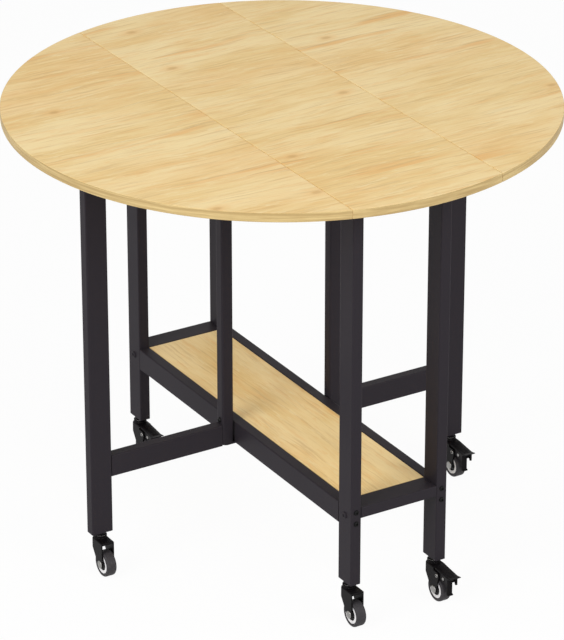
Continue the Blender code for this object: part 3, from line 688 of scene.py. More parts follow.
def tube_outlines(width, height):
    """Outer and inner outline of a rectangular tube with round corners."""
    outer = rounded_rectangle(width, height, TUBE_CORNER)
    inner = rounded_rectangle(width - 2 * TUBE_WALL, height - 2 * TUBE_WALL, TUBE_CORNER - TUBE_WALL)
    return outer, inner


def open_tube(width, height, axis, low, high):
    """Rectangular tube with round corners, open at both ends."""
    outer, inner = tube_outlines(width, height)
    solid = bmesh.new()
    loops = []
    for outline, end in ((outer, low), (outer, high), (inner, high), (inner, low)):
        loops.append([solid.verts.new(along(axis, u, v, end)) for u, v in outline])
    for first, second in zip(loops, loops[1:] + loops[:1]):
        for index in range(len(first)):
            following = (index + 1) % len(first)
            solid.faces.new((first[index], first[following], second[following], second[index]))
    bmesh.ops.recalc_face_normals(solid, faces=solid.faces)
    return solid


def turned(profile, steps, axis="Z", closed=False):
    """Solid of revolution from (radius, height) points; a closed profile makes a ring."""
    solid = bmesh.new()
    points = [solid.verts.new((radius, 0, height)) for radius, height in profile]
    pairs = list(zip(points, points[1:]))
    if closed:
        pairs.append((points[-1], points[0]))
    edges = [solid.edges.new(pair) for pair in pairs]
    bmesh.ops.spin(
        solid, geom=points + edges, cent=(0, 0, 0), axis=(0, 0, 1), angle=math.tau, steps=steps
    )
    bmesh.ops.remove_doubles(solid, verts=solid.verts, dist=TINY)
    bmesh.ops.recalc_face_normals(solid, faces=solid.faces)
    turns = {"X": (90, "Y"), "Y": (-90, "X")}
    if axis in turns:
        angle, about = turns[axis]
        matrix = Matrix.Rotation(math.radians(angle), 3, about)
        bmesh.ops.rotate(solid, verts=solid.verts, matrix=matrix)
    return solid


def cylinder(radius, low, high, axis="Z", centre=(0, 0, 0)):
    """Round bar along an axis through the centre point."""
    return shifted(turned([(0, high), (radius, high), (radius, low), (0, low)], PIN_STEPS, axis), centre)


def shifted(solid, offset):
    """The solid moved by an offset."""
    bmesh.ops.translate(solid, vec=Vector(offset), verts=solid.verts)
    return solid


def helper_object(solid):
    """Object that holds a solid while a Boolean uses it."""
    mesh = bpy.data.meshes.new("helper")
    solid.to_mesh(mesh)
    solid.free()
    helper = bpy.data.objects.new("helper", mesh)
    bpy.context.scene.collection.objects.link(helper)
    return helper


def combine(base, tool, operation_name):
    """Result of a Boolean between two solids, which are used up."""
    base_object = helper_object(base)
    tool_object = helper_object(tool)
    modifier = base_object.modifiers.new("combine", "BOOLEAN")
    modifier.operation = operation_name
    modifier.solver = "EXACT"
    modifier.object = tool_object
    result = bmesh.new()
    result.from_object(base_object, bpy.context.evaluated_depsgraph_get())
    for helper in (base_object, tool_object):
        mesh = helper.data
        bpy.data.objects.remove(helper)
        bpy.data.meshes.remove(mesh)
    bmesh.ops.remove_doubles(result, verts=result.verts, dist=TINY)
    return result


def eased(solid, width, steps=2, pick=None):
    """The solid with its sharp edges, or the edges that pick chooses, rounded."""
    bmesh.ops.dissolve_limit(solid, angle_limit=STRAIGHT, verts=solid.verts, edges=solid.edges)
    if pick is None:
        chosen = [edge for edge in solid.edges if edge.calc_face_angle(0) > SHARP]
    else:
        chosen = [edge for edge in solid.edges if pick(edge)]
    bmesh.ops.bevel(
        solid, geom=chosen, offset=width, segments=steps, profile=0.5, affect="EDGES", clamp_overlap=True
    )
    bmesh.ops.remove_doubles(solid, verts=solid.verts, dist=TINY)
    return solid


def smooth_shading(solid):
    """Smooth faces, with a sharp edge at each crease and round each flat."""
    for face in solid.faces:
        face.smooth = True
    for edge in solid.edges:
        areas = [face.calc_area() for face in edge.link_faces]
        flat = max(areas) > FLAT_SHARE * min(areas) if areas else True
        edge.smooth = edge.calc_face_angle(0) < CREASE and not flat


def add_piece(name, solid, finishes, body, nodes=(), choose=None):
    """Object for one finished piece, riding on its body and standing for its nodes."""
    smooth_shading(solid)
    if choose is not None:
        for face in solid.faces:
            face.material_index = choose(face)
    mesh = bpy.data.meshes.new(name)
    solid.to_mesh(mesh)
    solid.free()
    for material in finishes:
        mesh.materials.append(material)
    piece = bpy.data.objects.new(name, mesh)
    bpy.context.scene.collection.objects.link(piece)
    return settle(piece, body, nodes)


def settle(piece, body, nodes=()):
    """Sets what a finished piece rides on, and hides the nodes that it stands for."""
    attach(piece, body)
    if nodes:
        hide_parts(*nodes)
    return piece


def middle(node):
    """Centre of a node's box."""
    low, high = BOX[node]
    return (low + high) / 2


def extent(node):
    """Size of a node's box."""
    low, high = BOX[node]
    return high - low


# Top and shelf


def rim_arc(radius, start, end):
    """Points along the rim between two angles in degrees, in an even number of steps."""
    return arc((0, 0), radius, start, end, 2 * math.ceil(RIM_STEPS * (end - start) / 720))


def seam_angle(radius, seam):
    """Angle in degrees at which a seam, so far from the centre line, meets the rim."""
    return math.degrees(math.asin(seam / radius))


def between_seams(radius, seam):
    """Outline of a round board cut off along a seam on each side."""
    turn = seam_angle(radius, seam)
    return rim_arc(radius, -turn, turn) + rim_arc(radius, 180 - turn, 180 + turn)


def top_board(outline, low, high, radius, seam):
    """Board with its rim and its seam edges eased; seam is how far the seam lies from the centre line."""

    def level(edge):
        return abs(edge.verts[0].co.z - edge.verts[1].co.z) < TINY

    def on_rim(edge):
        return level(edge) and all(abs(vert.co.xy.length - radius) < NEAR for vert in edge.verts)

    def on_seam(edge):
        long_enough = edge.calc_length() > radius
        return level(edge) and long_enough and all(abs(abs(v.co.y) - seam) < NEAR for v in edge.verts)

    look = boards()
    solid = prism(outline, "Z", low, high)
    solid = eased(solid, look.rim_ease, RIM_EASE_STEPS, on_rim)
    return eased(solid, look.seam_ease, pick=on_seam)


def add_board(name, solid, pattern, body, node, on_edge):
    """Board piece with its own pattern, whose edge band covers the faces that on_edge picks."""
    finishes = [finish_of(oak_face, pattern), finish_of(oak_edge, pattern)]
    add_piece(name, solid, finishes, body, [node], on_edge)


def upright(face):
    """1 for a face of a board's edge, 0 for a level one."""
    return int(abs(face.normal.z) < LEVEL_LIMIT)


class TABLE_OT_top_boards(bpy.types.Operator):
    """Make the centre board and the two leaves"""

    bl_idname = "table.top_boards"
    bl_label = "Top boards"

    def execute(self, context):
        look = boards()
        low, high = BOX["centre_top"]
        radius = high.x

        def on_rim(face):
            return upright(face) if face.calc_center_median().xy.length > RIM_SHARE * radius else 0

        seam = high.y + SEAM_FILL
        solid = top_board(between_seams(radius, seam), low.z, high.z, radius, seam)
        lip = between_seams(radius - 2 * look.rim_ease, seam + SEAM_LIP)
        foot = low.z + look.seam_ease
        solid = combine(solid, prism(lip, "Z", foot, foot + SEAM_LIP_HEIGHT), "UNION")
        add_board("centre_board", solid, "centre", "frame", "centre_top", on_rim)
        seam = BOX["rear_leaf"][0].y - SEAM_FILL
        turn = seam_angle(radius, seam)
        for word, start in (("front", 180), ("rear", 0)):
            outline = rim_arc(radius, start + turn, start + 180 - turn)
            solid = top_board(outline, low.z, high.z, radius, seam)
            add_board(f"{word}_leaf_board", solid, word, f"{word}_leaf_body", f"{word}_leaf", on_rim)
        return {"FINISHED"}


class TABLE_OT_shelf_board(bpy.types.Operator):
    """Make the low shelf board"""

    bl_idname = "table.shelf_board"
    bl_label = "Shelf board"

    def execute(self, context):
        low, high = BOX["shelf"]
        solid = prism(box_outline(low.x, low.y, high.x, high.y), "Z", low.z, high.z)
        solid = eased(solid, boards().seam_ease)
        add_board("shelf_board", solid, "shelf", "frame", "shelf", upright)
        return {"FINISHED"}


# Hinges


def hinge_halves():
    """Each half of each hinge, as its node, its leaf, the body it rides on and if it is the fixed one."""
    halves = []
    for word, _ in SIDES:
        for end, _ in ENDS:
            for half, body in (("fixed", "frame"), ("swing", f"{word}_leaf_body")):
                halves.append((f"hinge_{word}_{end}_{half}", word, body, half == "fixed"))
    return halves


def hinge_sizes(node, word):
    """Axis and sizes of one half of a hinge, from its node's box and its leaf's joint."""
    low, high = BOX[node]
    joint = next(item for item in frame["joints"] if item["name"] == f"{word}_leaf_lift")
    _, axis_y, axis_z = joint["pos_m"]
    return {
        "axis": Vector(((low.x + high.x) / 2, axis_y, axis_z)),
        "half": (high.x - low.x) / 2,
        "radius": (high.z - low.z) / 2,
        "side": 1 if (low.y + high.y) / 2 > axis_y else -1,
        "far": max(high.y - axis_y, axis_y - low.y),
    }


def screw_places(sizes):
    """Places of a hinge plate's two screws, about the middle of its axis."""
    y = sizes["side"] * (sizes["radius"] + KNUCKLE_GAP + sizes["far"]) / 2
    return [Vector((step * 2 * sizes["half"] / 3, y, 0)) for step in (-1, 1)]


def hinge_plate(sizes, fixed):
    """One half of a butt hinge: its plate, its knuckles and, on the fixed half, the pin."""
    half = sizes["half"]
    radius = sizes["radius"]
    far = sizes["far"]
    mid = KNUCKLE_LENGTH / 2
    clear = radius + KNUCKLE_GAP
    spans = [(-mid, mid)]
    if not fixed:
        spans = [(-half, -mid - KNUCKLE_GAP), (mid + KNUCKLE_GAP, half)]
    outline = []
    for start, end in spans:
        inset = KNUCKLE_GAP / 2
        outline += [(start + inset, clear), (start + inset, 0), (end - inset, 0), (end - inset, clear)]
    if fixed:
        outline = [(-half, clear)] + outline + [(half, clear)]
    else:
        outline = outline[1:-1]
    outline += arc((half - HINGE_CORNER, far - HINGE_CORNER), HINGE_CORNER, 0, 90, CORNER_STEPS)
    outline += arc((HINGE_CORNER - half, far - HINGE_CORNER), HINGE_CORNER, 90, 180, CORNER_STEPS)
    top = radius - HINGE_INSET
    solid = prism([(u, sizes["side"] * v) for u, v in outline], "Z", top - HINGE_SHEET, top)
    for start, end in spans:
        solid = combine(solid, cylinder(radius, start, end, "X"), "UNION")
    if fixed:
        reach = half - KNUCKLE_GAP
        solid = combine(solid, cylinder(HINGE_PIN / 2, -reach, reach, "X"), "UNION")
    else:
        bore = HINGE_PIN / 2 + HINGE_PIN_CLEARANCE
        solid = combine(solid, cylinder(bore, -2 * half, 2 * half, "X"), "DIFFERENCE")
    for place in screw_places(sizes):
        solid = combine(solid, cylinder(SCREW_HOLE / 2, 0, 4 * radius, centre=place), "DIFFERENCE")
    return shifted(solid, sizes["axis"])


class TABLE_OT_leaf_hinges(bpy.types.Operator):
    """Make the four leaf hinges"""

    bl_idname = "table.leaf_hinges"
    bl_label = "Leaf hinges"

    def execute(self, context):
        for node, word, body, fixed in hinge_halves():
            solid = hinge_plate(hinge_sizes(node, word), fixed)
            add_piece(f"{node}_plate", solid, [finish_of(zinc_plate)], body, [node])
        return {"FINISHED"}


# Tube frame and gates


def add_tube(node, solid, body, plug=None):
    """Coated tube piece, with its plug's finish on the faces that plug picks."""
    finishes = [finish_of(powder_coat)]
    if plug is not None:
        finishes.append(finish_of(hub_plastic))
    add_piece(f"{node}_tube", solid, finishes, body, [node], plug)


def add_leg(node, body):
    """Leg tube, open at the top, with a plug set into its foot for the caster's stud."""
    low, high = BOX[node]
    centre = middle(node)
    size = extent(node)
    outer, inner = tube_outlines(size.x, size.y)
    solid = prism(outer, "Z", low.z, high.z)
    solid = combine(solid, prism(inner, "Z", low.z + LEG_PLUG, high.z + LEG_PLUG), "DIFFERENCE")
    solid = combine(solid, prism(inner, "Z", low.z - LEG_PLUG, low.z + PLUG_RECESS), "DIFFERENCE")
    hole = cylinder(STUD_HOLE / 2, low.z - LEG_PLUG, low.z + 2 * LEG_PLUG)
    solid = combine(solid, hole, "DIFFERENCE")

    def on_plug(face):
        rise = face.calc_center_median().z - low.z
        return int(face.normal.z < -LEAN_LIMIT and PLUG_RECESS / 2 < rise < 2 * PLUG_RECESS)

    add_tube(node, shifted(solid, (centre.x, centre.y, 0)), body, on_plug)


def rail_tube(low, high):
    """Open tube along the longest side of a box."""
    size = high - low
    centre = (low + high) / 2
    if size.x > size.y:
        solid = open_tube(size.y, size.z, "X", -size.x / 2, size.x / 2)
    else:
        solid = open_tube(size.x, size.z, "Y", -size.y / 2, size.y / 2)
    return shifted(solid, centre)


def pivot_lug(word, side, low_z, pin_up):
    """Lug on a long rail's outer face, with the pin on which a gate's post turns."""
    post = middle(f"{word}_gate_post")
    half = extent(f"{word}_gate_post").x / 2
    rail_face = abs(BOX[f"leg_{word}_left"][0 if side < 0 else 1].y)
    root = abs(post.y) - rail_face + TUBE_WALL / 2
    outline = arc((0, 0), half, 180, 360, PIN_STEPS) + [(half, root), (-half, root)]
    lug = prism([(u, -side * v) for u, v in outline], "Z", low_z, low_z + LUG_THICKNESS)
    inside = low_z + LUG_THICKNESS / 2
    if pin_up:
        pin = cylinder(PIVOT_PIN / 2, inside, low_z + LUG_THICKNESS + PIVOT_PIN_LENGTH)
    else:
        pin = cylinder(PIVOT_PIN / 2, low_z - PIVOT_PIN_LENGTH, inside)
    return shifted(combine(lug, pin, "UNION"), (post.x, post.y, 0))


def shelf_tab(side, x, face):
    """Tab on a lower rail's inner face, under the shelf board."""
    top = BOX["shelf"][0].z - SEAT_GAP
    outline = box_outline(x - TAB_LENGTH / 2, face - TAB_REACH, x + TAB_LENGTH / 2, face + TUBE_WALL / 2)
    return prism([(u, side * v) for u, v in outline], "Z", top - TAB_THICKNESS, top)


def long_rail(word, side, node):
    """Long rail between two legs, with its pivot lug and, on a lower rail, the shelf's tabs."""
    low, high = BOX[node]
    leg_low, leg_high = BOX[f"leg_{word}_left"]
    rail_low = Vector((low.x, leg_low.y, low.z))
    rail_high = Vector((high.x, leg_high.y, high.z))
    upper = node.startswith("upper")
    if upper:
        rail_low.z = high.z - extent("leg_front_left").x
    solid = rail_tube(rail_low, rail_high)
    lug_low = high.z - LUG_THICKNESS if upper else low.z
    solid = combine(solid, pivot_lug(word, side, lug_low, not upper), "UNION")
    if upper:
        return solid
    face = min(abs(leg_low.y), abs(leg_high.y))
    for number in range(TAB_COUNT):
        x = (high.x - low.x) * ((number + 0.5) / TAB_COUNT - 0.5)
        solid = combine(solid, shelf_tab(side, x, face), "UNION")
    return solid


class TABLE_OT_tube_frame(bpy.types.Operator):
    """Make the legs and the rails of the central frame"""

    bl_idname = "table.tube_frame"
    bl_label = "Tube frame"

    def execute(self, context):
        for word, side in SIDES:
            for end, _ in ENDS:
                add_leg(f"leg_{word}_{end}", "frame")
            for level in ("upper", "lower"):
                node = f"{level}_rail_{word}"
                add_tube(node, long_rail(word, side, node), "frame")
        for end, _ in ENDS:
            for level in ("upper", "lower"):
                node = f"{level}_rail_{end}"
                add_tube(node, rail_tube(*BOX[node]), "frame")
        return {"FINISHED"}


def post_tube(node):
    """Gate post with a bore for the pivot pins at its ends."""
    low, high = BOX[node]
    centre = middle(node)
    size = extent(node)
    depth = PIVOT_PIN_LENGTH + REACH_PAST
    solid = prism(rounded_rectangle(size.x, size.y, POST_CORNER), "Z", low.z, high.z)
    for start, end in ((low.z - REACH_PAST, low.z + depth), (high.z - depth, high.z + REACH_PAST)):
        solid = combine(solid, cylinder(PIVOT_BORE / 2, start, end), "DIFFERENCE")
    return shifted(solid, (centre.x, centre.y, 0))


class TABLE_OT_gates(bpy.types.Operator):
    """Make the two swing-out gates"""

    bl_idname = "table.gates"
    bl_label = "Gates"

    def execute(self, context):
        for word, _ in SIDES:
            gate = f"{word}_gate"
            add_leg(f"{gate}_leg", gate)
            add_tube(f"{gate}_post", post_tube(f"{gate}_post"), gate)
            for part in ("top_rail", "stretcher"):
                node = f"{gate}_{part}"
                add_tube(node, rail_tube(*BOX[node]), gate)
        return {"FINISHED"}


# Casters


def race_heights(word):
    """Foot and top of the race between a caster's fork and its leg."""
    foot = BOX[f"caster_{word}_fork"][1].z + SEAT_GAP
    return foot, BOX["leg_front_left"][0].z - SEAT_GAP


def ring_heights(word):
    """Heights of a stem's two bright zinc bands, painted highlights of the race, each as its foot and its
    top.
    """
    race_foot, race_top = race_heights(word)
    upper = race_top - NECK_HEIGHT
    lower = race_foot + RACE_CUP
    return (upper - PAINTED_HIGHLIGHT_BAND, upper), (lower, lower + PAINTED_HIGHLIGHT_BAND)


def stem_solid(word):
    """Stud, neck, two race cups with thin bands between them that take bright zinc as painted highlights, and
    the kingpin.
    """
    node = f"caster_{word}_stem"
    low, high = BOX[node]
    centre = middle(node)
    race_foot, race_top = race_heights(word)
    upper, lower = ring_heights(word)
    head_top = low.z + KINGPIN_HEAD_HEIGHT
    ease = EDGE_EASE
    stud = STUD_DIAMETER / 2
    outer = RACE_DIAMETER / 2
    ring = outer - 2 * ease
    neck = NECK_DIAMETER / 2
    head = KINGPIN_HEAD / 2
    profile = [(0, high.z), (stud - ease, high.z), (stud, high.z - ease)]
    profile += [(stud, race_top), (neck - ease, race_top), (neck, race_top - ease)]
    profile += [(neck, upper[1]), (ring, upper[1]), (ring, upper[0])]
    profile += arc((outer - ease, upper[0] - ease), ease, 90, 0, SMALL_ARC_STEPS)
    profile += arc((outer - ease, lower[1] + ease), ease, 0, -90, SMALL_ARC_STEPS)
    profile += [(ring, lower[1]), (ring, lower[0])]
    profile += arc((outer - ease, lower[0] - ease), ease, 90, 0, SMALL_ARC_STEPS)
    profile += [(outer, race_foot), (KINGPIN_DIAMETER / 2, race_foot), (KINGPIN_DIAMETER / 2, head_top)]
    profile += [(head, head_top), (head, low.z + ease), (head - ease, low.z), (0, low.z)]
    return shifted(turned(profile, STEM_STEPS), (centre.x, centre.y, 0))


def axle_place(wheel):
    """Middle of the axle, in its caster's frame."""
    return TRAIL, 0, wheel["radius"]


def pedal_pivot(wheel):
    """Middle of the pedal's pin, in its caster's frame."""
    return TRAIL + PEDAL_AHEAD, 0, 2 * wheel["radius"] + PEDAL_ABOVE


def fork_side(braked, top, wheel):
    """Side view of a fork as (x, z) points, from the crown's back down round the axle end."""
    axle = axle_place(wheel)[::2]
    back = -2 * CROWN_RADIUS
    shoulder = (-CROWN_RADIUS / 2, axle[1] + FORK_SHOULDER)
    run = (axle[0] - shoulder[0], axle[1] - shoulder[1])
    lean = math.degrees(math.atan2(run[1], run[0]) - math.asin(FORK_END_RADIUS / math.hypot(*run)))
    reach = (back - shoulder[0]) * math.tan(math.radians(lean))
    outline = [(back, top), (back, shoulder[1] + reach)]
    outline += arc(axle, FORK_END_RADIUS, lean - 90, 0, 3 * CORNER_STEPS)
    if not braked:
        return outline + [(axle[0] + FORK_END_RADIUS, top)]
    pivot = pedal_pivot(wheel)[::2]
    outline += arc(pivot, PEDAL_EAR_RADIUS, 0, 90, 2 * CORNER_STEPS)
    step = PEDAL_BACK - PEDAL_BACK_GAP
    return outline + [(step, pivot[1] + PEDAL_EAR_RADIUS), (step, top)]


def fork_solid(word, wheel):
    """Pressed fork about its swivel axis, bored for its pins."""
    node = f"caster_{word}_fork"
    braked = word in BRAKED
    top = BOX[node][1].z
    flank = FORK_SHEET + wheel["half_width"] + wheel["side_gap"]
    turn = math.degrees(math.asin(flank / CROWN_RADIUS))
    front = TRAIL + PEDAL_AHEAD + 2 * PEDAL_EAR_RADIUS
    plan = arc((0, 0), CROWN_RADIUS, 180 - turn, 180 + turn, 6 * CORNER_STEPS)
    solid = prism(plan + [(front, -flank), (front, flank)], "Z", 0, top)
    wide = 2 * CROWN_RADIUS
    solid = combine(solid, prism(fork_side(braked, top, wheel), "Y", -wide, wide), "INTERSECT")
    inner = flank - FORK_SHEET
    ceiling = top - FORK_SHEET
    skirt = top - CROWN_SKIRT
    lip = TRAIL + FORK_END_RADIUS - FORK_SHEET
    channel = [(-wide, -REACH_PAST), (2 * wide, -REACH_PAST)]
    if braked:
        channel.append((2 * wide, ceiling))
    else:
        channel += [(2 * wide, skirt), (lip, skirt), (lip, ceiling)]
    channel += [(-inner, ceiling), (-inner, skirt), (-wide, skirt)]
    solid = combine(solid, prism(channel, "Y", -inner, inner), "DIFFERENCE")
    solid = eased(
        solid, CROWN_EASE, SMALL_ARC_STEPS, lambda edge: all(vert.co.z > top - NEAR for vert in edge.verts)
    )
    hole = cylinder(KINGPIN_HOLE / 2, ceiling - REACH_PAST, top + REACH_PAST)
    solid = combine(solid, hole, "DIFFERENCE")
    pins = [(axle_place(wheel), AXLE_DIAMETER)]
    if braked:
        pins.append((pedal_pivot(wheel), PEDAL_PIN))
    across = extent(node).y
    for place, diameter in pins:
        hole = cylinder(diameter / 2 + PIN_HOLE_CLEARANCE, -across, across, "Y", place)
        solid = combine(solid, hole, "DIFFERENCE")
    return solid


def riveted_pin(centre, diameter, head, face, hollow=0):
    """Pin across a fork with a domed rivet head on each outer face, hollow where it has a hole."""
    end = face + RIVET_HEIGHT
    profile = [(0, end)]
    if hollow:
        floor = face - RIVET_HEIGHT / 2
        profile = [(0, floor), (hollow / 2, floor), (hollow / 2, end - RIVET_HEIGHT / 4)]
        profile += [(hollow / 2 + RIVET_HEIGHT / 3, end)]
    profile += arc((head / 2 - RIVET_HEIGHT, face), RIVET_HEIGHT, 90, 0, SMALL_ARC_STEPS)
    profile += [(diameter / 2, face)]
    profile += [(radius, -height) for radius, height in reversed(profile)]
    return shifted(turned(profile, PIN_STEPS, "Y"), centre)


def wheel_ring(side):
    """Ring about the axle from one half of its section, mirrored to the other side."""
    profile = side + [(radius, -height) for radius, height in reversed(side)]
    return turned(profile, WHEEL_STEPS, "Y", closed=True)


def tyre_solid(wheel):
    """Tread about the axle with round shoulders and a shallow moulding line."""
    radius = wheel["radius"]
    half = wheel["half_width"]
    bore = wheel["core"] + SEAT_GAP
    shoulder = TREAD_SHOULDER
    line = MOULDING_LINE
    side = [
        (bore, half - RING_INSET),
        (bore + TREAD_LIP_START, half - TREAD_LIP_DROP),
        (bore + TREAD_LIP, half),
    ]
    side += arc((radius - shoulder, half - shoulder), shoulder, 90, 0, 2 * SMALL_ARC_STEPS)
    side += [(radius, 3 * line), (radius - line, line / 2)]
    return wheel_ring(side)


def core_solid(wheel):
    """Wheel centre about the axle: hub, dished web and the pale ring that holds the tread."""
    radius = wheel["core"]
    half = wheel["half_width"]
    bore = AXLE_DIAMETER / 2 + AXLE_CLEARANCE
    ring = radius - RING_WIDTH
    hub = HUB_DIAMETER / 2
    ease = CORE_EASE
    side = [(bore, half - ease), (bore + ease, half)]
    side += arc((hub - ease, half - ease), ease, 90, 0, CORE_EASE_STEPS)
    side += [(hub + RING_INSET / 2, half - DISH_INSET), (ring - ease, half - DISH_INSET)]
    side += arc((ring + 2 * ease, half - RING_INSET - ease), ease, 180, 90, CORE_EASE_STEPS)
    side += [(radius, half - RING_INSET)]
    return wheel_ring(side)


def caster_frame(word):
    """Swivel point of a caster on the floor, and the sizes of its wheel."""
    stem = middle(f"caster_{word}_stem")
    low, high = BOX[f"caster_{word}_tyre"]
    half = (high.y - low.y) / 2
    wheel = {
        "radius": (high.z - low.z) / 2,
        "half_width": half,
        "core": extent(f"caster_{word}_core").z / 2,
        "side_gap": extent(f"caster_{word}_fork").y / 2 - RIVET_HEIGHT - FORK_SHEET - half,
    }
    return Vector((stem.x, stem.y, 0)), wheel


def off_axle(face, axle):
    """Distance of a face's middle from an axis along Y."""
    return (face.calc_center_median() - axle).xz.length


class TABLE_OT_casters(bpy.types.Operator):
    """Make the stems, forks, pins and wheels of the six casters"""

    bl_idname = "table.casters"
    bl_label = "Casters"

    def execute(self, context):
        for word in CASTERS:
            spot, wheel = caster_frame(word)
            self.stem(word)
            self.fork(word, spot, wheel)
            self.wheel(word, spot, wheel)
        return {"FINISHED"}

    def stem(self, word):
        """Stem, which rides on the frame or the gate, with two bright zinc bands as painted highlights of its
        race.
        """
        rings = ring_heights(word)

        def on_ring(face):
            height = face.calc_center_median().z
            inside = any(foot + NEAR < height < top - NEAR for foot, top in rings)
            return int(inside and abs(face.normal.z) < LEAN_LIMIT)

        name = f"caster_{word}"
        carrier = word if word.endswith("gate") else "frame"
        # The bands take bright zinc: painted highlights of the race's rounded edges.
        finishes = [finish_of(enamel), finish_of(zinc_plate)]
        add_piece(
            f"{name}_stud", stem_solid(word), finishes, carrier, [f"{name}_stem"], on_ring
        )

    def fork(self, word, spot, wheel):
        """Fork with its axle and, beside a brake, the pedal's pin, whose shallow head recess is painted black
        as shade.
        """
        name = f"caster_{word}"
        body = f"{word}_caster"
        black = finish_of(enamel)
        dull = finish_of(zinc_plate, "dull")
        solid = shifted(fork_solid(word, wheel), spot)
        add_piece(f"{name}_yoke", solid, [black], body, [f"{name}_fork"])
        flank = extent(f"{name}_fork").y / 2 - RIVET_HEIGHT
        pin = riveted_pin(axle_place(wheel), AXLE_DIAMETER, AXLE_HEAD, flank)
        add_piece(f"{name}_axle", shifted(pin, spot), [dull], body)
        if word not in BRAKED:
            return
        pivot = pedal_pivot(wheel)
        # Faces of the shallow recess in the pin's head take black enamel: painted shade of a deep hole.
        edge = PEDAL_PIN_HOLE / 2 + NEAR
        pin = riveted_pin(pivot, PEDAL_PIN, PEDAL_PIN_HEAD, flank, PEDAL_PIN_HOLE)
        add_piece(
            f"{name}_pedal_pin", shifted(pin, spot), [dull, black], body,
            choose=lambda face: int(off_axle(face, spot + Vector(pivot)) < edge),
        )

    def wheel(self, word, spot, wheel):
        """Tread and wheel centre."""
        name = f"caster_{word}"
        body = f"{word}_wheel"
        axle = spot + Vector(axle_place(wheel))
        ring = wheel["core"] - RING_WIDTH
        solid = shifted(tyre_solid(wheel), axle)
        add_piece(f"{name}_tread", solid, [finish_of(tread_rubber)], body, [f"{name}_tyre"])
        solid = shifted(core_solid(wheel), axle)
        finishes = [finish_of(ring_plastic), finish_of(hub_plastic)]
        add_piece(
            f"{name}_centre", solid, finishes, body, [f"{name}_core"],
            lambda face: int(off_axle(face, axle) <= ring),
        )


# Brake pedals


def pedal_lines(wheel):
    """Pivot of a pedal, and the ends and undersides of its tread plate, in its caster's frame."""
    pivot = Vector(pedal_pivot(wheel))
    low = pivot.z + PEDAL_EAR_RADIUS + PEDAL_LIFT
    slope = PEDAL_FALL / PEDAL_LENGTH
    back_under = low + slope * (pivot.x + PEDAL_EAR_RADIUS - PEDAL_BACK)
    return pivot, PEDAL_BACK, PEDAL_BACK + PEDAL_LENGTH, back_under, back_under - PEDAL_FALL


def pedal_solid(wheel, half):
    """Brake pedal in its caster's frame: tread plate, web with hub, shoe, two cheeks and two claws."""
    pivot, back, front, back_under, front_under = pedal_lines(wheel)
    tip = front + PEDAL_TIP
    tip_under = front_under + PEDAL_TIP_RISE + PEDAL_SHEET / 2
    tread = [
        (back, back_under),
        (front, front_under),
        (tip, tip_under),
        (tip, tip_under + PEDAL_SHEET / 2),
        (front, front_under + PEDAL_SHEET),
        (back, back_under + PEDAL_SHEET),
    ]
    solid = eased(prism(tread, "Y", -half, half), EDGE_EASE)
    axle_height = wheel["radius"]
    inside = wheel["half_width"]
    shoe = TRAIL + wheel["radius"] + SHOE_GAP
    shoe_front = shoe + SHOE_SHEET
    sink = WELD_SINK
    web = arc((pivot.x, pivot.z), PEDAL_HUB_RADIUS, 180, 315, 3 * CORNER_STEPS)
    web += [
        (shoe, 2 * wheel["radius"]),
        (shoe_front, 2 * wheel["radius"]),
        (shoe_front, front_under + PEDAL_SHEET / 2),
        (back + sink, back_under + PEDAL_SHEET / 2),
        (back + sink, pivot.z + PEDAL_TAIL_RISE),
        (back - PEDAL_TAIL, pivot.z + PEDAL_TAIL_RISE),
        (back - PEDAL_TAIL, pivot.z + sink),
    ]
    solid = combine(solid, prism(web, "Y", -inside, inside), "UNION")
    plate = [
        (shoe + sink, pivot.z),
        (shoe + sink, axle_height),
        (shoe_front + SHOE_LIP, axle_height),
        (shoe_front + SHOE_LIP, axle_height + SHOE_SHEET / 2),
        (shoe_front - sink, axle_height + SHOE_SHEET),
        (shoe_front - sink, pivot.z),
    ]
    solid = combine(solid, eased(prism(plate, "Y", -SHOE_WIDTH / 2, SHOE_WIDTH / 2), SHOE_EASE), "UNION")
    cheek_back = pivot.x + PEDAL_EAR_RADIUS + CHEEK_EAR_GAP
    cheek_low = pivot.z - CHEEK_BELOW_PIN
    cheek_top = front_under + PEDAL_SHEET / 2
    corner = (cheek_back + CHEEK_CORNER, cheek_low + CHEEK_CORNER)
    cheek = arc(corner, CHEEK_CORNER, 180, 270, CORNER_STEPS)
    cheek += [
        (front - CLAW_ROOT - CLAW_THICKNESS, cheek_low),
        (front - CLAW_ROOT / 2, cheek_top),
        (cheek_back, cheek_top),
    ]
    claw = [
        (front - CLAW_THICKNESS, front_under - CLAW_LENGTH),
        (front, front_under - CLAW_LENGTH),
        (front, cheek_top),
        (front - CLAW_ROOT, cheek_top),
    ]
    for side in (-1, 1):
        ends = sorted((side * (half - sink), side * (half - CHEEK_SHEET)))
        solid = combine(solid, eased(prism(cheek, "Y", *ends), CHEEK_EASE), "UNION")
        ends = sorted((side * (half - CLAW_INSET), side * (half - CLAW_WIDTH)))
        solid = combine(solid, prism(claw, "Y", *ends), "UNION")
    hole = cylinder(PEDAL_PIN / 2 + PEDAL_PIN_CLEARANCE, -2 * half, 2 * half, "Y", pivot)
    return combine(solid, hole, "DIFFERENCE")


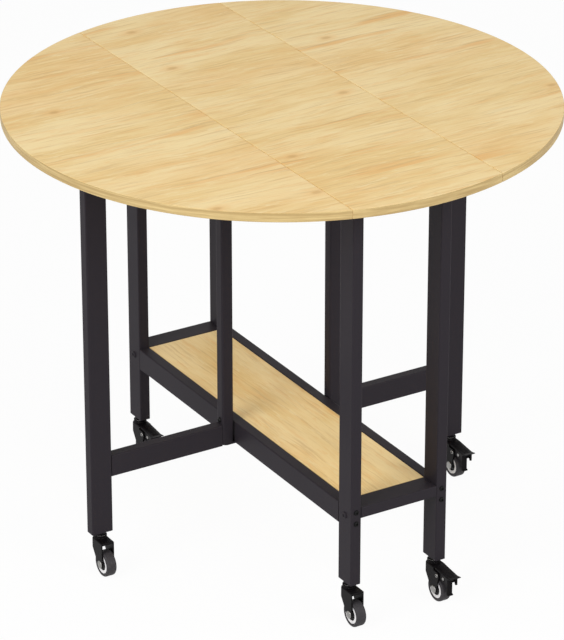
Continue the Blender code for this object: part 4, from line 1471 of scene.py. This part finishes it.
class TABLE_OT_brake_pedals(bpy.types.Operator):
    """Make the three brake pedals, their rivets and the ribs on their treads"""

    bl_idname = "table.brake_pedals"
    bl_label = "Brake pedals"

    def execute(self, context):
        for word in BRAKED:
            name = f"caster_{word}_pedal"
            body = f"{word}_pedal"
            spot, wheel = caster_frame(word)
            half = extent(name).y / 2
            solid = shifted(pedal_solid(wheel, half), spot)
            add_piece(f"{name}_lever", solid, [finish_of(enamel)], body, [name])
            self.rivets(name, body, spot, wheel, half)
            self.ribs(name, body, spot, wheel, half)
        return {"FINISHED"}

    def rivets(self, name, body, spot, wheel, half):
        """One rivet on each cheek."""
        pivot = pedal_pivot(wheel)
        x = pivot[0] + CHEEK_RIVET_AHEAD
        z = pivot[2] + CHEEK_RIVET_ABOVE
        places = []
        for side in (-1, 1):
            places.append((spot + Vector((x, side * (half - WELD_SINK), z)), (0, side, 0)))
        sizes = (CHEEK_RIVET, CHEEK_RIVET_HEIGHT)
        add_heads(f"{name}_rivets", "no", sizes, finish_of(zinc_plate, "dull"), places, body)

    def ribs(self, name, body, spot, wheel, half):
        """Ribs across the tread plate."""
        look = wheels()
        _, back, front, back_under, front_under = pedal_lines(wheel)
        slope = (front_under - back_under) / (front - back)
        lift = PEDAL_SHEET - look.rib_width * RIB_SINK
        inputs = {
            "Ribs": look.rib_count,
            "First": spot + Vector((back + RIB_START, 0, back_under + slope * RIB_START + lift)),
            "Last": spot + Vector((front - RIB_STOP, 0, front_under - slope * RIB_STOP + lift)),
            "Length": 2 * (half - RIB_SIDE_MARGIN),
            "Width": look.rib_width,
            "Finish": finish_of(enamel),
        }
        settle(from_nodes(f"{name}_ribs", rib_tree(), inputs), body)


# Repeated small parts by geometry nodes


class Network(Graph):
    """A geometry node tree in the making, with named inputs."""

    def __init__(self, name, inputs):
        super().__init__(bpy.data.node_groups.new(name, "GeometryNodeTree"))
        interface = self.tree.interface
        interface.new_socket("Geometry", in_out="INPUT", socket_type="NodeSocketGeometry")
        for label, kind in inputs.items():
            interface.new_socket(label, in_out="INPUT", socket_type=f"NodeSocket{kind}")
        interface.new_socket("Geometry", in_out="OUTPUT", socket_type="NodeSocketGeometry")
        given = self.tree.nodes.new("NodeGroupInput").outputs
        self.given = {label: Level(self, given[label]) for label in ("Geometry", *inputs)}
        self.result = self.tree.nodes.new("NodeGroupOutput").inputs[0]

    def risen(self, solid, height, turn=0.0):
        """The solid turned about Z and lifted by a height."""
        place = self.node("ShaderNodeCombineXYZ", sockets={"Z": height})
        sockets = {"Geometry": solid, "Translation": place, "Rotation": (0, 0, turn)}
        return self.node("GeometryNodeTransform", sockets=sockets)

    def boolean(self, kind, sockets):
        """Result of a Boolean between meshes."""
        return self.node("GeometryNodeMeshBoolean", {"operation": kind, "solver": "EXACT"}, sockets)

    def close(self, instances):
        """Ends the tree in real geometry with its finish."""
        solid = self.node("GeometryNodeRealizeInstances", sockets={"Geometry": instances})
        sockets = {"Geometry": solid, "Material": self.given["Finish"]}
        self.feed(self.result, self.node("GeometryNodeSetMaterial", sockets=sockets))
        return self.tree


@functools.cache
def rib_tree():
    """Ribs across a pedal: half-sunk bars spread evenly from the first place to the last."""
    wanted = {"Ribs": "Int", "First": "Vector", "Last": "Vector", "Length": "Float", "Width": "Float"}
    net = Network("pedal_ribs", {**wanted, "Finish": "Material"})
    given = net.given
    sockets = {"Count": given["Ribs"], "Start Location": given["First"], "Offset": given["Last"]}
    line = net.node("GeometryNodeMeshLine", {"mode": "END_POINTS"}, sockets)
    sockets = {"Vertices": RIB_STEPS, "Radius": given["Width"] / 2, "Depth": given["Length"]}
    bar = net.node("GeometryNodeMeshCylinder", sockets=sockets)
    sockets = {"Geometry": bar, "Rotation": (math.radians(90), 0, 0), "Scale": (1, 1, RIB_FLATNESS)}
    rib = net.node("GeometryNodeTransform", sockets=sockets)
    return net.close(net.node("GeometryNodeInstanceOnPoints", sockets={"Points": line, "Instance": rib}))


@functools.cache
def head_tree(recess):
    """Fastener heads on points, facing the way that each point says, with a hex, a cross or no recess."""
    wanted = {"Diameter": "Float", "Height": "Float", "Finish": "Material"}
    net = Network(f"heads_with_{recess}_recess", wanted)
    radius = net.given["Diameter"] / 2
    height = net.given["Height"]

    def frustum(foot, top, depth):
        sockets = {"Vertices": HEAD_STEPS, "Radius Top": top, "Radius Bottom": foot, "Depth": depth}
        return net.node("GeometryNodeMeshCone", sockets=sockets)

    shoulder = radius * HEAD_SHOULDER
    foot = frustum(radius, shoulder, height * HEAD_FOOT)
    crown = frustum(shoulder, radius * HEAD_CROWN, height * (1 - HEAD_FOOT))
    crown = net.risen(crown, height * (HEAD_FOOT - HEAD_OVERLAP))
    head = net.boolean("UNION", {"Mesh 2": [foot, crown]})
    tools = []
    if recess == "hex":
        sockets = {"Vertices": HEX_SIDES, "Radius": radius * HEX_SOCKET, "Depth": height}
        tools = [net.risen(net.node("GeometryNodeMeshCylinder", sockets=sockets), height)]
    if recess == "cross":
        sockets = {"X": radius, "Y": radius * CROSS_SLOT, "Z": height}
        size = net.node("ShaderNodeCombineXYZ", sockets=sockets)
        slot = net.node("GeometryNodeMeshCube", sockets={"Size": size})
        tools = [net.risen(slot, height, turn) for turn in (0, math.radians(90))]
    if tools:
        head = net.boolean("DIFFERENCE", {"Mesh 1": head, "Mesh 2": tools})
    facing = net.node("GeometryNodeInputNamedAttribute", {"data_type": "FLOAT_VECTOR"}, {"Name": "facing"})
    turn = net.node("FunctionNodeAlignRotationToVector", {"axis": "Z"}, {"Vector": facing})
    sockets = {"Points": net.given["Geometry"], "Instance": head, "Rotation": turn}
    return net.close(net.node("GeometryNodeInstanceOnPoints", sockets=sockets))


def from_nodes(name, tree, inputs, points=()):
    """Plain mesh object from a node tree, with points given as (place, facing) pairs."""
    mesh = bpy.data.meshes.new(name)
    mesh.from_pydata([place for place, _ in points], [], [])
    if points:
        facing = mesh.attributes.new("facing", "FLOAT_VECTOR", "POINT")
        for index, (_, way) in enumerate(points):
            facing.data[index].vector = way
    piece = bpy.data.objects.new(name, mesh)
    modifier = piece.modifiers.new("nodes", "NODES")
    modifier.node_group = tree
    for item in tree.interface.items_tree:
        if item.in_out == "INPUT" and item.name in inputs:
            modifier[item.identifier] = inputs[item.name]
    bpy.context.scene.collection.objects.link(piece)
    depsgraph = bpy.context.evaluated_depsgraph_get()
    result = bpy.data.meshes.new_from_object(piece.evaluated_get(depsgraph))
    if not result.polygons:
        raise RuntimeError(f"{name}: the node tree made no faces")
    piece.modifiers.clear()
    piece.data = result
    bpy.data.meshes.remove(mesh)
    return piece


def add_heads(name, recess, sizes, finish, places, body):
    """Fastener heads of one kind on one body, as one piece; sizes are their diameter and height."""
    inputs = {"Diameter": sizes[0], "Height": sizes[1], "Finish": finish}
    settle(from_nodes(name, head_tree(recess), inputs, places), body)


def head_place(node, axis, way, height):
    """Place and facing of a head on the side of a node's box along an axis, at a height."""
    place = middle(node)
    place[axis] = BOX[node][1 if way > 0 else 0][axis]
    place.z = height
    facing = Vector((0, 0, 0))
    facing[axis] = way
    return place, facing


class TABLE_OT_fasteners(bpy.types.Operator):
    """Make the frame bolts, leg bolts, gate screws and hinge screws"""

    bl_idname = "table.fasteners"
    bl_label = "Fasteners"

    def execute(self, context):
        self.bolts()
        self.hinge_screws()
        return {"FINISHED"}

    def bolts(self):
        """Bolts in the ends and sides of the legs, and a screw in each gate's post."""
        look = tubes()
        # Frame bolts and gate screws take the near-black steel that also paints their shade.
        black = finish_of(bolt_black)
        small = (look.bolt_head, look.bolt_height)
        large = (look.cap_head, look.bolt_height)
        level = BOX["lower_rail_front"][0].z + extent("leg_front_left").x / 2
        on_ends = []
        on_sides = []
        for word, side in SIDES:
            for end, way in ENDS:
                leg = f"leg_{word}_{end}"
                on_ends += [head_place(leg, 0, way, level + rise) for rise in FRAME_BOLT_RISES]
                on_sides.append(head_place(leg, 1, side, level + LEG_BOLT_RISE))
        add_heads("frame_bolts", "hex", small, black, on_ends, "frame")
        add_heads("leg_bolts", "hex", large, finish_of(powder_coat), on_sides, "frame")
        for word, side in SIDES:
            gate = f"{word}_gate"
            height = BOX[f"{gate}_stretcher"][1].z + GATE_SCREW_RISE
            places = [head_place(f"{gate}_post", 1, side, height)]
            add_heads(f"{gate}_screw", "hex", small, black, places, gate)

    def hinge_screws(self):
        """Two screws in each hinge plate, seen from below."""
        look = tubes()
        groups = {}
        for node, word, body, _ in hinge_halves():
            plate = hinge_sizes(node, word)
            under = Vector((0, 0, plate["radius"] - HINGE_INSET - HINGE_SHEET))
            for place in screw_places(plate):
                groups.setdefault(body, []).append((plate["axis"] + place + under, (0, 0, -1)))
        sizes = (look.screw_head, look.screw_height)
        zinc = finish_of(zinc_plate)
        for body, places in groups.items():
            add_heads(f"hinge_screws_{body}", "cross", sizes, zinc, places, body)


# Stage


def seen_directly(finish):
    """1 for rays that show the backdrop itself: straight on, mirrored or through glass."""
    camera, glossy, through = [finish.node("ShaderNodeLightPath", output=kind) for kind in SEEN_BY]
    return finish.math("MAXIMUM", finish.math("MAXIMUM", camera, glossy), through)


class TABLE_OT_stage(bpy.types.Operator):
    """Make the floor, the light and the camera"""

    bl_idname = "table.stage"
    bl_label = "Stage"

    def execute(self, context):
        look = context.scene.table_stage
        self.floor(context, look)
        self.light(context, look)
        self.camera(context, look)
        context.scene.view_settings.view_transform = "Standard"
        return {"FINISHED"}

    def floor(self, context, look):
        """Large pale floor that shows almost white but keeps the table's shadow, clear from below."""
        solid = bmesh.new()
        bmesh.ops.create_grid(solid, x_segments=1, y_segments=1, size=FLOOR_REACH)
        mesh = bpy.data.meshes.new("floor")
        solid.to_mesh(mesh)
        solid.free()
        pale = Finish(bpy.data.materials.new("pale_floor"))
        matt = pale.node("ShaderNodeBsdfDiffuse", sockets={"Color": (*look.floor, 1)})
        white = pale.node("ShaderNodeEmission", sockets={"Color": (1, 1, 1, 1), "Strength": 1.0})
        direct = seen_directly(pale) * FLOOR_WHITE
        shown = pale.node("ShaderNodeMixShader", sockets={0: direct, 1: matt, 2: white})
        clear = pale.node("ShaderNodeBsdfTransparent")
        below = pale.node("ShaderNodeNewGeometry", output="Backfacing")
        both = pale.node("ShaderNodeMixShader", sockets={0: below, 1: shown, 2: clear})
        pale.tree.nodes.remove(pale.shader)
        pale.feed(pale.tree.nodes["Material Output"].inputs["Surface"], both)
        mesh.materials.append(pale.material)
        floor = bpy.data.objects.new("floor", mesh)
        floor.location.z = -FLOOR_DROP
        context.scene.collection.objects.link(floor)

    def light(self, context, look):
        """Even dome, white to the camera, and a soft lamp in front and one at the right."""
        world = bpy.data.worlds.new("studio")
        context.scene.world = world
        sky = Finish(world)
        back = sky.tree.nodes["Background"]
        sky.feed(back.inputs["Color"], (1, 1, 1, 1))
        sky.feed(back.inputs["Strength"], look.dome + seen_directly(sky) * (1 - look.dome))
        for name, place, size, power in LAMPS:
            data = bpy.data.lights.new(name, "AREA")
            data.shape = "DISK"
            data.size = size
            data.energy = power
            lamp = bpy.data.objects.new(name, data)
            lamp.location = place
            lamp.rotation_euler = (LAMP_AIM - lamp.location).to_track_quat("-Z", "Y").to_euler()
            context.scene.collection.objects.link(lamp)

    def camera(self, context, look):
        """Camera at the photograph's angle, without shift."""
        data = bpy.data.cameras.new("camera")
        data.sensor_width = SENSOR_WIDTH
        data.lens = look.lens
        data.clip_end = CLIP_END
        camera = bpy.data.objects.new("camera", data)
        level = math.cos(look.elevation)
        away = Vector(
            (math.sin(look.azimuth) * level, -math.cos(look.azimuth) * level, math.sin(look.elevation))
        )
        camera.location = Vector((0, 0, look.aim_height)) + away * look.distance
        camera.rotation_euler = (-away).to_track_quat("-Z", "Y").to_euler()
        context.scene.collection.objects.link(camera)
        context.scene.camera = camera


STEPS = (
    TABLE_OT_top_boards,
    TABLE_OT_shelf_board,
    TABLE_OT_leaf_hinges,
    TABLE_OT_tube_frame,
    TABLE_OT_gates,
    TABLE_OT_casters,
    TABLE_OT_brake_pedals,
    TABLE_OT_fasteners,
    TABLE_OT_stage,
)


class TABLE_PT_looks(bpy.types.Panel):
    """Steps that make the table's looks, in order"""

    bl_idname = "TABLE_PT_looks"
    bl_label = "Drop-leaf table"
    bl_space_type = "VIEW_3D"
    bl_region_type = "UI"
    bl_category = "Table"

    def draw(self, context):
        for step in STEPS:
            self.layout.operator(step.bl_idname)


SETTINGS = (
    ("table_boards", BoardSettings),
    ("table_frame", FrameSettings),
    ("table_casters", CasterSettings),
    ("table_stage", StageSettings),
)


def register():
    """Adds the settings, the operators and the panel."""
    for name, group in SETTINGS:
        bpy.utils.register_class(group)
        setattr(bpy.types.Scene, name, PointerProperty(type=group))
    for item in (*STEPS, TABLE_PT_looks):
        bpy.utils.register_class(item)


def unregister():
    """Removes what register added."""
    for item in reversed((*STEPS, TABLE_PT_looks)):
        bpy.utils.unregister_class(item)
    for name, group in reversed(SETTINGS):
        delattr(bpy.types.Scene, name)
        bpy.utils.unregister_class(group)


def main():
    """Makes every piece."""
    register()
    for step in STEPS:
        family, action = step.bl_idname.split(".")
        getattr(getattr(bpy.ops, family), action)()


if __name__ == "__main__":
    main()
